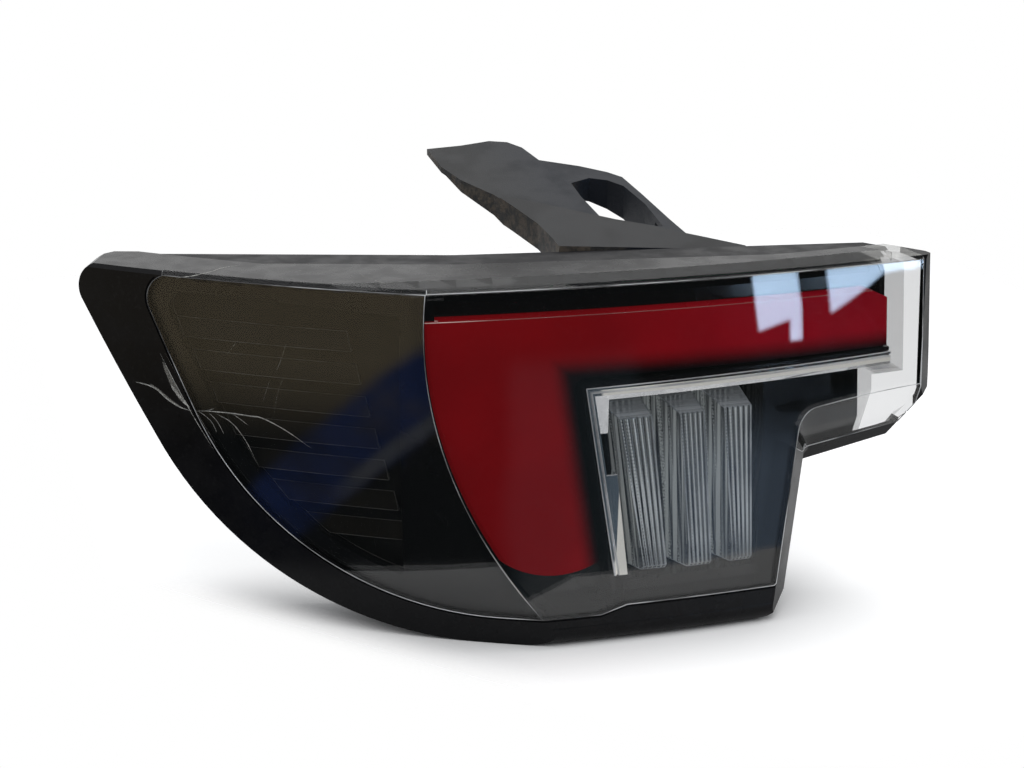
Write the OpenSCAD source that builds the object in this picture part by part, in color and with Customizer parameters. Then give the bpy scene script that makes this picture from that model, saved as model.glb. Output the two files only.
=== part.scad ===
// Tail light cluster for the left rear corner of a car, in millimetres.
// +Z is up and -Y is the face that looks out behind the car. The origin is the
// centre of the main stud's seat on the back of the housing.

/* [Lens skin] */
// Height of the flat top above the main stud
top_z = 60; // [57:0.5:64]
// Radius of the rear face in plan
rear_radius = 900; // [800:10:1100]
// Y of the rear face's foremost point at the top
rear_face_y = -85.5; // [-88:0.5:-84]
// X of the rear face's foremost point
rear_apex_x = 35; // [25:1:45]
// Lean of the rear face in degrees
rear_lean = 5; // [4:0.5:6]
// X of the top corner between the rear face and the side face
corner_x = -95; // [-99:1:-92]
// Plan angle at which the side face leaves the corner
side_turn = 30.7; // [29:0.1:32]
// Plan radius of the side face
side_radius = 700; // [650:10:760]
// Upright section radius of the side face
side_section = 465; // [440:5:500]
// Wall of the lens and of its border
skin_wall = 3; // [2.6:0.1:3.4]
// Bevel along the top edge of the skin
edge_bevel = 1.6; // [1:0.1:2.2]

/* [Outline] */
// Centre of the tip's round end, across the view and up
tip = [-222.7, 48.7];
// Radius of the tip
tip_r = 12; // [10:0.5:13]
// Centre of the large lower arc
belly = [-41, 65.5];
// Radius of the large lower arc
belly_r = 177.5; // [175:0.5:180]
// Roll along the lower edge
bottom_roll = 8; // [6:0.5:10]
// Top and bottom of the step's edge, X and Z
step_top = [84.2, -26.9];
step_low = [73.6, -92.6];
// Width of the bevel on the step
step_bevel = 10; // [8:0.5:12]
// Left and right end of the wing's lower crease, X and Z
wing_left = [100, -7.3];
wing_right = [155, -3.1];
// Fall of the wing's lower face for each millimetre of depth
wing_fall = 2.2; // [2:0.1:2.6]
// Right edge of the wing's clear face
wing_x = 156; // [152:0.5:158]
// Width of the bevel on the wing's right rim
rim_bevel = 8.5; // [7:0.5:10]
// Slant of the right rim, inwards towards the top
rim_slant = 0.05; // [0:0.01:0.08]
// Radius of the fillet between the step and the wing
crotch_r = 15; // [11:0.5:16]

/* [Border] */
// Width of the groove in the border along the lens
groove_w = 1.2; // [0.8:0.1:1.6]
// Depth of the groove
groove_d = 0.9; // [0.5:0.1:1.2]
// Depth of the front shell behind the skin
shell_depth = 22; // [20:0.5:24]
// Depth of the glossy strip along the top
lens_lip = 14; // [12:0.5:16]
// Width of the housing's own strip at the back of the top
back_strip = 27; // [24:0.5:30]

/* [Housing] */
// Wall of the housing
housing_wall = 2.6; // [2.2:0.1:3]
// Bead of sealant between shell and housing
bead_gap = 1.5; // [1.2:0.1:2]
// Drop of the housing's top behind the border's strip
strip_step = 1.2; // [0.8:0.1:1.6]
// Right end of the housing tub below and above its shelf
tub_right = [128, 146.4];
// Height of the shelf under the tub's upper right end
tub_shelf = 6; // [5:0.25:6.5]
// Depth of the lower tub behind the rear face
tub_depth = 66; // [64:0.5:70]
// Depth of the lower tub behind the side face
side_depth = 38; // [36:0.5:42]
// Rib thickness
rib_t = 2; // [1.6:0.1:2.4]
// Spacing of the ribs
rib_pitch = 40; // [34:1:46]

/* [Red panel] */
// Depth of the red panel's face behind the skin
red_face = 12; // [11:0.5:13]
// Thickness of the red panel
red_t = 14; // [12:0.5:15]
// Top edge of the red panel
red_top = 42.5; // [41:0.5:44]
// Lower edge of the arm of the L
red_low = 13; // [12:0.5:14]
// Right end of the red panel
red_right = 142; // [140:0.5:143]

/* [Chrome and bars] */
// Outer corner of the chrome, X and Z
chrome_corner = [-18.6, 8.3];
// Rise of the chrome strip for each millimetre to the right
chrome_rise = 0.022; // [0:0.002:0.03]
// Slant of the chrome leg, sideways for each millimetre down
chrome_slant = 0.1325; // [0.12:0.0025:0.15]
// Width of the chrome strip over the bars
chrome_top_w = 6; // [5:0.25:7]
// Width of the chrome leg beside the bars, at its upper end
chrome_leg_w = 10.3; // [9:0.1:11]
// Taper of the leg, for each millimetre down
chrome_leg_taper = 0.044; // [0.03:0.002:0.05]
// Depth of the bars' front faces behind the skin
bar_face = 15; // [14:0.5:16]
// Length of the bars from front to back
bar_depth = 30; // [28:0.5:31]
// Height of the chamfer at the foot of each bar
bar_foot = 2.5; // [2:0.25:3]
// Number of clear bars
bar_count = 3; // [3]
// Number of flutes on each bar's front
bar_flutes = 5; // [4:1:6]

/* [Side window] */
// Depth of the side bezel behind the skin
side_face = 4; // [3.8:0.1:4.4]
// Depth of the louvre panel behind the skin
louvre_depth = 12.3; // [12:0.1:12.4]
// Height of the slats above the louvre panel
slat_h = 3.5; // [2.5:0.25:4]
// Number of louvre slats
slat_count = 7; // [6:1:7]
// Height between slats
slat_pitch = 15.2; // [14:0.1:15.5]

/* [Boards] */
// Thickness of the circuit boards
board_t = 1.6; // [1.2:0.2:1.6]
// Depth of the reflector tray's cells
tray_depth = 16; // [15.5:0.25:16.5]
// Room between the bars' recess and the signal board
signal_room = 2.6; // [2.4:0.1:3.2]
// Size of the driver board, X and Z
driver_size = [68, 38];
// Left and lower edge of the driver board, X and Z
driver_corner = [16, 12];
// Width of an LED
led_w = 3.5; // [3:0.1:4]
// Height of an LED
led_h = 1.1; // [0.8:0.1:1.2]
// Spacing of the tail light's LEDs, across and up
led_pitch = [16, 14.6];
// Width and height of the connector socket
socket_size = [28, 18];

/* [Mounts] */
// Stud radius, M6
stud_r = 3; // [3]
// Length of the studs beyond their seats
stud_l = 22; // [18:1:26]
// Radius of the seats
seat_r = 11; // [10:0.5:12]
// Radius of the locating pins
pin_r = 4; // [3.5:0.25:4.5]

/* [Arm] */
// Thickness of the arm's sheet
arm_t = 3; // [2.5:0.25:3.5]
// Rise of the arm's sheet for each millimetre back
arm_slope = 0.3; // [0.25:0.01:0.35]
// Depth of the arm's skirt on the left
arm_skirt = 12; // [10:0.5:14]
// Depth of the arm's rim on the right
arm_rim = 14; // [12:0.5:15]
// Lower edge of the arm's flange on the back
arm_flange_low = 40; // [39:0.5:42]
// Height of the arm's near plate above its sheet
arm_step = 0.6; // [0.4:0.1:1]

/* [Hidden] */
$fn = 96;
big = 600;
fine_fn = 360;
gap = 0.3;
draw_az = -20;
// How far a flank is sunk below the arcs that it joins
sink = 0.05;

bottom_z = belly.y - belly_r;

// Layers behind the rear face, each from the one before it
diffuser_face = red_face + red_t + 0.1;
diffuser_t = 1.8;
tray_face = diffuser_face + diffuser_t + 0.1;
tail_depth = tray_face + tray_depth;
recess_depth = bar_face + bar_depth + 1;
signal_depth = recess_depth + signal_room;

// Skin geometry
rear_axis = [rear_apex_x, rear_face_y + rear_radius];
function rear_r(z, t = 0) = rear_radius + tan(rear_lean) * (top_z - z) - t / cos(rear_lean);
function rear_y(x, z, t = 0) = rear_axis.y - sqrt(pow(rear_r(z, t), 2) - pow(x - rear_apex_x, 2));
corner = [corner_x, rear_y(corner_x, top_z)];
side_tuck = side_section - sqrt(pow(side_section, 2) - pow(top_z, 2));
side_axis = corner + (side_radius - side_tuck) * [sin(side_turn), cos(side_turn)];
function side_r(z, t = 0) = side_radius - side_section + sqrt(pow(side_section - t, 2) - pow(z, 2));

// Back of the housing, two upright planes that meet at back_mid
back_left = [-215, 54];
back_mid = [-60, 0];
back_right = [146, -34.4];

function unit(v) = v / norm(v);
// Corner of the back strip's front edge, the back line moved forward
function plan_normal(a, b) = unit([-(b - a).y, (b - a).x]);
back_n1 = plan_normal(back_left, back_mid);
back_n2 = plan_normal(back_mid, back_right);

// Bevel planes of the step and the wing
function skin_point(p) = [p.x, rear_y(p.x, p.y), p.y];
step_n = unit(cross(skin_point(step_low) - skin_point(step_top), [1, 1, 0]));
wing_n = unit(cross([0, 1, -wing_fall], skin_point(wing_right) - skin_point(wing_left)));
step_slant = (step_top.x - step_low.x) / (step_top.y - step_low.y);

module half_space(p, n, t = 0) {
    u = unit(n);
    translate(p - u * t)
        rotate([0, acos(u.z), atan2(u.y, u.x)])
            translate([-big, -big, -2 * big])
                cube([2 * big, 2 * big, 2 * big]);
}

// Solid of revolution about the rear face's axis, from a profile in radius and height
module rear_ring() {
    translate([rear_axis.x, rear_axis.y, 0])
        rotate_extrude($fn = fine_fn)
            children();
}

module side_ring() {
    translate([side_axis.x, side_axis.y, 0])
        rotate_extrude($fn = fine_fn)
            children();
}

// The rear face: a leaning cone, bevelled at the top and rolled under at the bottom
module rear_skin(t = 0) {
    low = -150;
    knee = top_z - edge_bevel - 0.414 * t;
    inner = rear_radius - 320;
    roll = max(bottom_roll - t, 0.5);
    roll_z = bottom_roll > t ? bottom_z + t + roll : low + 1;
    roll_r = rear_r(roll_z, t) - roll;
    rear_ring() {
        polygon([
            [inner, low],
            [roll_r, low],
            [roll_r, roll_z],
            [rear_r(roll_z, t) - sink, roll_z],
            [rear_r(knee, t), knee],
            [rear_r(knee, t) - 40, knee + 40],
            [inner, knee + 40]
        ]);
        translate([roll_r, roll_z])
            circle(roll);
    }
}

module side_skin(t = 0) {
    low = -150;
    high = top_z + 30;
    inner = side_radius - 320;
    rim = side_r(top_z) + top_z - edge_bevel - 1.414 * t;
    side_ring()
        intersection() {
            translate([side_radius - side_section, 0])
                circle(side_section - t, $fn = fine_fn);
            polygon([
                [inner, low],
                [side_radius + 10, low],
                [side_radius + 10, rim - side_radius - 10],
                [rim - high, high],
                [inner, high]
            ]);
        }
}

module core(t, side_t = undef) {
    intersection() {
        rear_skin(t);
        side_skin(is_undef(side_t) ? t : side_t);
    }
}

// Extrusion along the oblique direction in which the left part is drawn
module draw_prism() {
    rotate([0, 0, draw_az])
        translate([0, 2 * big, 0])
            rotate([90, 0, 0])
                linear_extrude(4 * big)
                    children();
}

// Extrusion along Y
module rear_prism() {
    translate([0, 300, 0])
        rotate([90, 0, 0])
            linear_extrude(500)
                children();
}

// Round tip, straight flank and large lower arc, all tangent
module bow(tip_c, tip_rad, arc_c, arc_r) {
    d = arc_c - tip_c;
    a = atan2(d.y, d.x) - acos((tip_rad - arc_r) / norm(d));
    n = [cos(a), sin(a)];
    translate(tip_c)
        circle(tip_rad);
    translate(arc_c)
        circle(arc_r, $fn = fine_fn);
    polygon([tip_c, tip_c + n * (tip_rad - sink), arc_c + n * (arc_r - sink), arc_c]);
    translate([tip_c.x, tip_c.y])
        square([2 * big, big]);
    translate([arc_c.x, arc_c.y - arc_r])
        square([2 * big, arc_r]);
}

// The cone that rounds the inner corner between the step and the wing
crotch_depth_y = rear_y(step_top.x, step_top.y) + 14;
crotch_dir = unit(cross(step_n, wing_n)) * (cross(step_n, wing_n).y > 0 ? -1 : 1);
crotch_m = unit(step_n + wing_n);
crotch_foot = crotch_line_point();
function crotch_line_point() =
    let (
        p1 = skin_point(step_top),
        p2 = skin_point(wing_left),
        k = step_n * wing_n,
        d1 = (p1 - p2) * step_n,
        b = d1 / (1 - k * k),
        q = p2 + step_n * b - wing_n * (b * k),
        s = (crotch_depth_y - q.y) / crotch_dir.y
    )
    q + crotch_dir * s;

module crotch_fill(t = 0) {
    reach = 18;
    apex = crotch_foot - crotch_m * (t / (crotch_m * step_n));
    ball = crotch_foot + crotch_dir * reach + crotch_m * (crotch_r / (crotch_m * step_n));
    ball_r = crotch_r + t;
    axis = ball - apex;
    half = asin(ball_r / norm(axis));
    t1 = ball - step_n * ball_r;
    t2 = ball - wing_n * ball_r;
    face = cross(t1 - apex, t2 - apex);
    side = face * crotch_m > 0 ? 1 : -1;
    difference() {
        intersection() {
            half_space(apex, face * side);
            half_space(apex, -crotch_dir);
            translate(apex + crotch_dir * 10)
                sphere(30);
        }
        translate(apex)
            rotate([0, acos(unit(axis).z), atan2(axis.y, axis.x)])
                cylinder(h = 80, r1 = 0, r2 = 80 * tan(half), $fn = fine_fn);
    }
}

module main_block(t = 0) {
    intersection() {
        half_space(skin_point(step_top), step_n, t);
        half_space([step_top.x + step_bevel, 0, step_top.y], [1, 0, -step_slant], t);
        half_space([70, 0, -110], [0.62, 0, -0.78], t);
    }
}

module wing_block(t = 0) {
    intersection() {
        half_space(skin_point(wing_left), wing_n, t);
        half_space([116, 0, -35.5], [0.154, 0, -0.988], t);
        half_space([wing_x, rear_y(wing_x, 20), 20], [1, -1, rim_slant], t);
        half_space([wing_x + rim_bevel, 0, 20], [1, 0, rim_slant], t);
        half_space([168, -69.4, -7.2], [0.666, -0.405, -0.629], t);
        half_space([back_right.x, back_right.y, 0], [0.895, 0.445, 0], t);
        half_space([60, 0, 0], [-1, 0, 0]);
    }
}

// Everything inside the outer faces, moved in by t
module envelope(t = 0) {
    difference() {
        intersection() {
            core(t);
            union() {
                main_block(t);
                wing_block(t);
                crotch_fill(t);
            }
            half_space([0, 0, top_z], [0, 0, 1], t);
            draw_prism()
                bow(tip, tip_r - t, belly, belly_r - t);
            half_space([-228, 47, 0], [-0.6, 0.8, 0], t);
        }
        behind(t);
    }
}

// All that lies behind the two planes of the back, moved forward by t
module behind(t = 0) {
    intersection() {
        half_space([back_mid.x, back_mid.y, 0], [-back_n1.x, -back_n1.y, 0], -t);
        half_space([back_mid.x, back_mid.y, 0], [-back_n2.x, -back_n2.y, 0], -t);
    }
}

// The moulded shell that lens and border share
module front_shell() {
    difference() {
        envelope();
        envelope(skin_wall);
        // Nothing of the shell lies behind its depth, apart from the top plate
        intersection() {
            core(shell_depth);
            half_space([0, 0, top_z - skin_wall], [0, 0, 1]);
        }
        intersection() {
            core(shell_depth);
            behind(back_strip);
        }
        // The wing is open behind its rim
        intersection() {
            core(rim_bevel);
            half_space([wing_x - 4, 0, 0], [-1, 0, 0]);
            half_space([0, 0, top_z - skin_wall], [0, 0, 1]);
        }
    }
}

lens_low = -93.7;
lens_low_left = -97.5;
seam_left = [91.5, -31.6];
seam_right = [153, -24];
module lens_outline(g = 0) {
    polygon([
        [-big, big],
        [wing_x, big],
        [wing_x, seam_right.y + 3],
        seam_right,
        seam_left,
        step_top,
        [step_low.x, lens_low + 1 - g],
        [step_low.x - 1, lens_low - g],
        [-4 - g / 4, lens_low - g],
        [-17 - g / 4, lens_low_left - g],
        [-big, lens_low_left - g]
    ]);
}
lens_tip = [-186.5, top_z - edge_bevel - 11.5];
lens_tip_r = 11.5;
lens_belly = [-31, 61.5];
lens_belly_r = 159;

// The part of the shell that is clear, grown by g at its left and lower edge
module lens_zone(g = 0) {
    intersection() {
        rear_prism()
            lens_outline(g);
        draw_prism()
            bow(lens_tip, lens_tip_r + g, lens_belly, lens_belly_r + g);
        difference() {
            translate([-big, -big, -big])
                cube(2 * big);
            // Behind the glossy lip the top belongs to the border
            intersection() {
                core(lens_lip, side_t = 1);
                half_space([back_right.x, back_right.y, 0], [0.895, 0.445, 0], 14);
                half_space([0, 0, top_z - skin_wall - 0.5], [0, 0, -1]);
            }
        }
    }
}

module outer_lens() {
    color([0.9, 0.93, 0.94, 0.35])
        intersection() {
            front_shell();
            lens_zone();
        }
}

// The opaque border, in two runs: the long one and the rim at the wing's end
module border_run() {
    difference() {
        front_shell();
        lens_zone();
        children();
    }
}

module lens_border() {
    color([0.05, 0.05, 0.055])
        difference() {
            border_run()
                half_space([wing_x - 2, 0, 0], [-1, 0, 0]);
            difference() {
                lens_zone(groove_w);
                core(groove_d);
                half_space([0, 0, top_z - skin_wall], [0, 0, -1]);
            }
        }
}

module wing_rim() {
    color([0.05, 0.05, 0.055])
        border_run()
            half_space([wing_x - 2, 0, 0], [1, 0, 0]);
}

// Layers between two depths behind the rear face and behind the side face
module rear_layer(t0, t1) {
    difference() {
        rear_skin(t0);
        rear_skin(t1);
    }
}

module side_layer(t0, t1) {
    difference() {
        side_skin(t0);
        side_skin(t1);
    }
}

// Everything deeper than d behind the plane that touches the rear face at its apex
module deeper(d) {
    translate([rear_apex_x, rear_y(rear_apex_x, 0), 0])
        rotate([-rear_lean, 0, 0])
            translate([-big, d, -big])
                cube(2 * big);
}

module flat_layer(d0, d1) {
    difference() {
        deeper(d0);
        deeper(d1);
    }
}

// Y of that plane moved in by d, at height z
function flat_y(z, d) = rear_y(rear_apex_x, 0) + d / cos(rear_lean) + z * tan(rear_lean);

module along_y(p, r, l) {
    translate(p)
        rotate([-90, 0, 0])
            cylinder(r = r, h = l);
}

module box(low, size) {
    translate(low)
        cube(size);
}

// Outlines seen from behind the car
function chrome_z(x) = chrome_corner.y + chrome_rise * (x - chrome_corner.x);
function chrome_x(z) = chrome_corner.x + chrome_slant * (chrome_corner.y - z);

// All that lies right of the chrome's leg and below its strip, grown by d
module chrome_side(d = 0) {
    low = -130;
    polygon([
        [chrome_x(low) - d, low],
        [chrome_x(chrome_corner.y + d) - d, chrome_corner.y + d],
        [240, chrome_z(240) + d],
        [240, low]
    ]);
}

module chrome_inner(d = 0) {
    low = -130;
    top = chrome_corner.y - chrome_top_w;
    polygon([
        [chrome_x(low) + chrome_leg_w - chrome_leg_taper * (top - low) - d, low],
        [chrome_x(top) + chrome_leg_w - d, top + d],
        [240, chrome_z(240) - chrome_top_w + d],
        [240, low]
    ]);
}

chrome_low = -83;
chrome_right = 143;
module chrome_outline(d = 0) {
    intersection() {
        difference() {
            chrome_side(d);
            chrome_inner(-d);
        }
        translate([-big, chrome_low - d])
            square([big + chrome_right + d, big]);
    }
}

// Opening of the recess that holds the bars, grown by d
recess_right = 72;
recess_floor = -86;
module recess(d = 0) {
    intersection() {
        chrome_inner(d);
        polygon([
            [-80, recess_floor - d],
            [-80, 80],
            [recess_right + d, 80],
            [recess_right + d, -20],
            [recess_right - 4 + d, recess_floor - d]
        ]);
    }
}

// The L of the red panel, grown by d
red_gap = 5.5;
red_low_end = -81;
red_ball = [-34, -36];
red_ball_r = 45;
function red_leg_x(z) = chrome_x(z) - red_gap;
module red_prism(d = 0) {
    fillet = 6;
    far = -125;
    rear_prism()
        polygon([
            [far, red_ball.y],
            [far, red_top + d],
            [red_right - 9, red_top + d],
            [red_right + d, red_top - 4 + d / 2],
            [red_right + d, red_low + 1.6 - d],
            [red_leg_x(red_low) + fillet, red_low - d],
            [red_leg_x(red_low) + 0.3 * fillet + d, red_low - 0.3 * fillet - d],
            [red_leg_x(red_low - fillet) + d, red_low - fillet - d],
            [red_leg_x(red_ball.y) + d, red_ball.y]
        ]);
    intersection() {
        translate([red_ball.x, 100, red_ball.y])
            rotate([90, 0, 0])
                cylinder(r = red_ball_r + d, h = 300);
        rear_prism()
            polygon([
                [far, red_ball.y + 1],
                [red_leg_x(red_ball.y + 1) + d, red_ball.y + 1],
                [red_leg_x(red_low_end) + d, red_low_end - d],
                [far, red_low_end - d]
            ]);
    }
}

function in_red(x, z, m) =
    x > -90 && z > red_low_end + m && z < red_top - m
    && (z > red_low + m
        ? x < red_right - m
        : x < red_leg_x(z) - m && (z > red_ball.y || norm([x, z] - red_ball) < red_ball_r - m));
tail_led_places = [
    for (i = [0 : 14], j = [0 : 8])
        let (x = -80 + i * led_pitch.x, z = red_top - 7.5 - j * led_pitch.y)
        if (in_red(x, z, 5)) [x, z]
];

// Lug on a board, from its screw towards the board
lug_r = 4;
module lug(p, q) {
    along_y([p.x, -100, p.y], lug_r, 100);
    translate([p.x, -100, p.y])
        rotate([0, -atan2(q.y - p.y, q.x - p.x), 0])
            box([0, 0, sink - lug_r], [norm(q - p), 100, 2 * (lug_r - sink)]);
}

// Front of the driver board: its tall parts just clear the back of the tail light board
cap_h = 7;
cap_r = 3;
cap_z = 32.5;
driver_y = flat_y(cap_z + cap_r, tail_depth + board_t) + cap_h + gap;

// Screws of the boards: X, Z, and the point that each lug runs to
tail_screws = [[-20, 49], [100, 49], [-74, -54], [-30, -87]];
tail_lug_ends = [[-20, 36], [100, 36], [-50, -45], [-30, -70]];
signal_screws = [[79, -2], [79, -62], [-13, -12], [12, -93]];
driver_screws = [[22, 44], [78, 44]];

module board_screw(p, y) {
    along_y([p.x, y - 2.1, p.y], 3, 2);
    along_y([p.x, y - 0.5, p.y], 1.3, 10);
}

module all_board_screws() {
    for (p = tail_screws)
        board_screw(p, flat_y(p.y, tail_depth) - 0.3);
    for (p = signal_screws)
        board_screw(p, flat_y(p.y, signal_depth) - 0.3);
    for (p = driver_screws)
        board_screw(p, driver_y);
}

// Seats on the back: X, Y of the face and Z
main_seat = [0, 0, 0];
side_seat = [-150, 42, 15];
upper_pin = [104, -18, 28];
lower_pin = [10, -26, -78];
vent_seat = [92, -18, -8];
socket_c = [50, -12, 22];
pin_l = 14;
stud_head_r = 6;
stud_head_t = 5;
stud_sunk = 16;
// Shank moulded into the seat, thicker than the thread
stud_root_r = stud_r + 1;

module stud(p) {
    along_y(p - [0, 1, 0], stud_r, 1 + stud_l);
    along_y(p - [0, stud_sunk, 0], stud_root_r, stud_sunk);
    along_y(p - [0, stud_sunk + 2, 0], stud_head_r, stud_head_t);
}

function back_y(x) = x < back_mid.x
    ? back_mid.y + (x - back_mid.x) * (back_left.y - back_mid.y) / (back_left.x - back_mid.x)
    : back_mid.y + (x - back_mid.x) * (back_right.y - back_mid.y) / (back_right.x - back_mid.x);

// Frame on the right part of the back, Z outwards
module out_of_back(x, z) {
    translate([x, back_y(x), z])
        rotate([0, 90, atan2(back_n2.y, back_n2.x)])
            children();
}

arm_screw_places = [[4, 49], [40, 49], [76, 49]];
arm_gap = 0.2;
module all_arm_screws() {
    for (p = arm_screw_places)
        out_of_back(p.x, p.y) {
            translate([0, 0, -7])
                cylinder(r = 2.5, h = 7 + arm_gap + arm_t + 0.5);
            translate([0, 0, arm_gap + arm_t])
                cylinder(r = 5, h = 3);
        }
}

// Right end of the tub, seen from behind the car: inset d at its ends, shelf at height z
module tub_end(d, z) {
    polygon([
        [-big, big],
        [tub_right[1] - d, big],
        [tub_right[1] - d, z],
        [tub_right[0] - d, z],
        [tub_right[0] - d, -big],
        [-big, -big]
    ]);
}

module tub_outline(d = 0) {
    tub_end(d, tub_shelf + d);
}

housing_top = top_z - skin_wall - 1;
deck = [0, -20, -42];
deck_n = [0, 0.35, -0.94];

module housing_block(w = 0) {
    intersection() {
        envelope(w);
        half_space([0, 0, housing_top], [0, 0, 1], w);
        rear_prism()
            tub_outline(w);
        union() {
            half_space(deck, deck_n, w);
            difference() {
                translate([-big, -big, -big])
                    cube(2 * big);
                core(tub_depth - w, side_t = side_depth - w);
            }
        }
    }
}

// Clear wall between the lit inside and the empty wing
divider_t = 1.5;
divider_shelf = 3.8;
module wing_divider() {
    fit = 0.1;
    color([0.9, 0.93, 0.94, 0.5])
        intersection() {
            envelope(skin_wall + fit);
            rear_layer(skin_wall + fit, shell_depth - fit);
            rear_prism()
                difference() {
                    tub_end(0, divider_shelf);
                    tub_end(divider_t, divider_shelf + divider_t);
                }
        }
}

module lens_seal() {
    bead_w = 4;
    color([0.1, 0.1, 0.1])
        union() {
            intersection() {
                difference() {
                    envelope(0.4);
                    envelope(skin_wall - 0.4);
                    core(shell_depth + bead_gap);
                }
                core(shell_depth);
                half_space([0, 0, housing_top + gap], [0, 0, 1]);
                rear_prism()
                    tub_outline();
            }
            intersection() {
                envelope(0.4);
                difference() {
                    core(shell_depth);
                    core(shell_depth + bead_w);
                }
                half_space([0, 0, top_z - skin_wall], [0, 0, 1]);
                half_space([0, 0, housing_top], [0, 0, -1]);
                rear_prism()
                    tub_outline();
            }
            // Bead between the divider and the tub's right end
            intersection() {
                envelope(1);
                rear_layer(shell_depth, shell_depth + bead_gap);
                half_space([0, 0, housing_top + 1], [0, 0, 1]);
                rear_prism()
                    difference() {
                        tub_end(0, divider_shelf);
                        tub_end(housing_wall, tub_shelf + housing_wall);
                    }
            }
        }
}

// Upright and level ribs on the back
rib_h = 5;
rib_low = -24;
rib_high = 30;
module back_ribs() {
    intersection() {
        difference() {
            behind(0.5);
            behind(-rib_h);
        }
        difference() {
            union() {
                for (x = [-195 : rib_pitch : 120])
                    box([x, -150, rib_low], [rib_t, 300, rib_high - rib_low]);
                for (z = [rib_low, rib_high])
                    box([-196, -150, z], [318, 300, rib_t]);
            }
            box(socket_c - [22, 60, 17], [44, 120, 34]);
        }
    }
}

// Post behind a board that lies d behind the face
module post(p, d) {
    intersection() {
        along_y([p.x, -120, p.y], lug_r, 200);
        housing_block(1);
        deeper(d + board_t + 0.1);
    }
}

module rear_housing() {
    socket_rim = 5;
    color([0.07, 0.07, 0.075])
        difference() {
            union() {
                difference() {
                    intersection() {
                        housing_block();
                        core(shell_depth + bead_gap);
                    }
                    housing_block(housing_wall);
                }
                // The housing's own strip of the top, behind the border's
                intersection() {
                    envelope();
                    half_space([0, 0, top_z - strip_step], [0, 0, 1]);
                    union() {
                        intersection() {
                            core(shell_depth + gap);
                            half_space([0, 0, top_z - skin_wall], [0, 0, -1]);
                        }
                        intersection() {
                            core(shell_depth + 5);
                            half_space([0, 0, housing_top - 1], [0, 0, -1]);
                        }
                    }
                    behind(back_strip - gap);
                }
                back_ribs();
                along_y(main_seat - [0, 24, 0], seat_r, 24);
                along_y(side_seat - [0, 26, 0], seat_r, 26);
                along_y(upper_pin - [0, 14, 0], 2 * pin_r, 14);
                along_y(upper_pin - [0, 1, 0], pin_r, pin_l + 1);
                along_y(lower_pin - [0, 10, 0], 2 * pin_r, 10);
                along_y(lower_pin - [0, 1, 0], pin_r, pin_l + 1);
                along_y(vent_seat - [0, 11, 0], 8, 11);
                box(socket_c - [socket_size.x / 2 + socket_rim, 16, socket_size.y / 2 + socket_rim],
                    [socket_size.x + 2 * socket_rim, 16, socket_size.y + 2 * socket_rim]);
                for (p = tail_screws)
                    post(p, tail_depth);
                for (p = signal_screws)
                    post(p, signal_depth);
                for (p = driver_screws)
                    intersection() {
                        along_y([p.x, driver_y + board_t + 0.1, p.y], lug_r, 60);
                        housing_block(1);
                    }
                for (p = arm_screw_places)
                    out_of_back(p.x, p.y)
                        translate([0, 0, -8])
                            cylinder(r = 5, h = 8);
            }
            stud(main_seat);
            stud(side_seat);
            along_y(vent_seat - [0, 40, 0], 3.5, 60);
            box(socket_c - [socket_size.x / 2 + gap, 40, socket_size.y / 2 + gap],
                [socket_size.x + 2 * gap, 60, socket_size.y + 2 * gap]);
            all_board_screws();
            all_arm_screws();
        }
}

// Pocket in the bezel right of the bars, grown by d
module pocket(d = 0) {
    r = 8.2;
    c = [85, -4.6];
    translate(c)
        circle(r + d);
    translate([c.x, c.y - r - d + sink])
        square([60, 2 * (r + d - sink)]);
}

plate_face = 22;
plate_t = 2.5;
front_plate = 11.5;
inner_clear = 0.6;
bezel_side = 14.8;
red_side = 17.1;
red_lip = 3;

// Window and back limits of the black bezel behind the rear face
module inner_bezel() {
    color([0.03, 0.03, 0.035])
        difference() {
            intersection() {
                envelope(skin_wall + inner_clear);
                side_skin(bezel_side);
                half_space([0, 0, housing_top - housing_wall - inner_clear], [0, 0, 1]);
                rear_prism()
                    tub_outline(housing_wall + inner_clear);
                union() {
                    rear_layer(plate_face, plate_face + plate_t);
                    // Wall beside the red panel's left end
                    intersection() {
                        rear_layer(red_face + red_lip + gap, plate_face + 1);
                        side_layer(bezel_side, red_side - gap);
                    }
                    intersection() {
                        rear_layer(front_plate, front_plate + plate_t);
                        rear_prism()
                            difference() {
                                chrome_inner(2);
                                pocket();
                            }
                    }
                    intersection() {
                        rear_layer(front_plate, plate_face + 1);
                        rear_prism()
                            difference() {
                                chrome_side(2);
                                chrome_side(-1);
                            }
                    }
                    intersection() {
                        rear_layer(front_plate, plate_face + 1);
                        rear_prism()
                            intersection() {
                                difference() {
                                    pocket(1.5);
                                    pocket();
                                }
                                chrome_inner();
                            }
                    }
                    intersection() {
                        rear_layer(front_plate, plate_face + 1);
                        half_space([tub_right[0] - housing_wall - inner_clear - 2, 0, 0], [-1, 0, 0]);
                        rear_prism()
                            chrome_inner();
                    }
                    intersection() {
                        rear_layer(front_plate, recess_depth);
                        rear_prism()
                            recess(2);
                    }
                }
            }
            intersection() {
                rear_layer(0, recess_depth - 2);
                rear_prism()
                    recess();
            }
            // Room for the chrome and for the red panel
            intersection() {
                rear_layer(0, chrome_back + gap);
                rear_prism()
                    chrome_outline(gap);
            }
            intersection() {
                red_prism(gap);
                side_skin(red_side - gap);
            }
            for (i = [0 : bar_count - 1])
                bar_block(i, gap);
        }
}

chrome_face = 9.7;
chrome_back = 17;
// Flats and steps of the trim, from its outer edge inwards
chrome_lip = 1.1;
chrome_step = 1.2;
chrome_step_d = 1.4;

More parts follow.
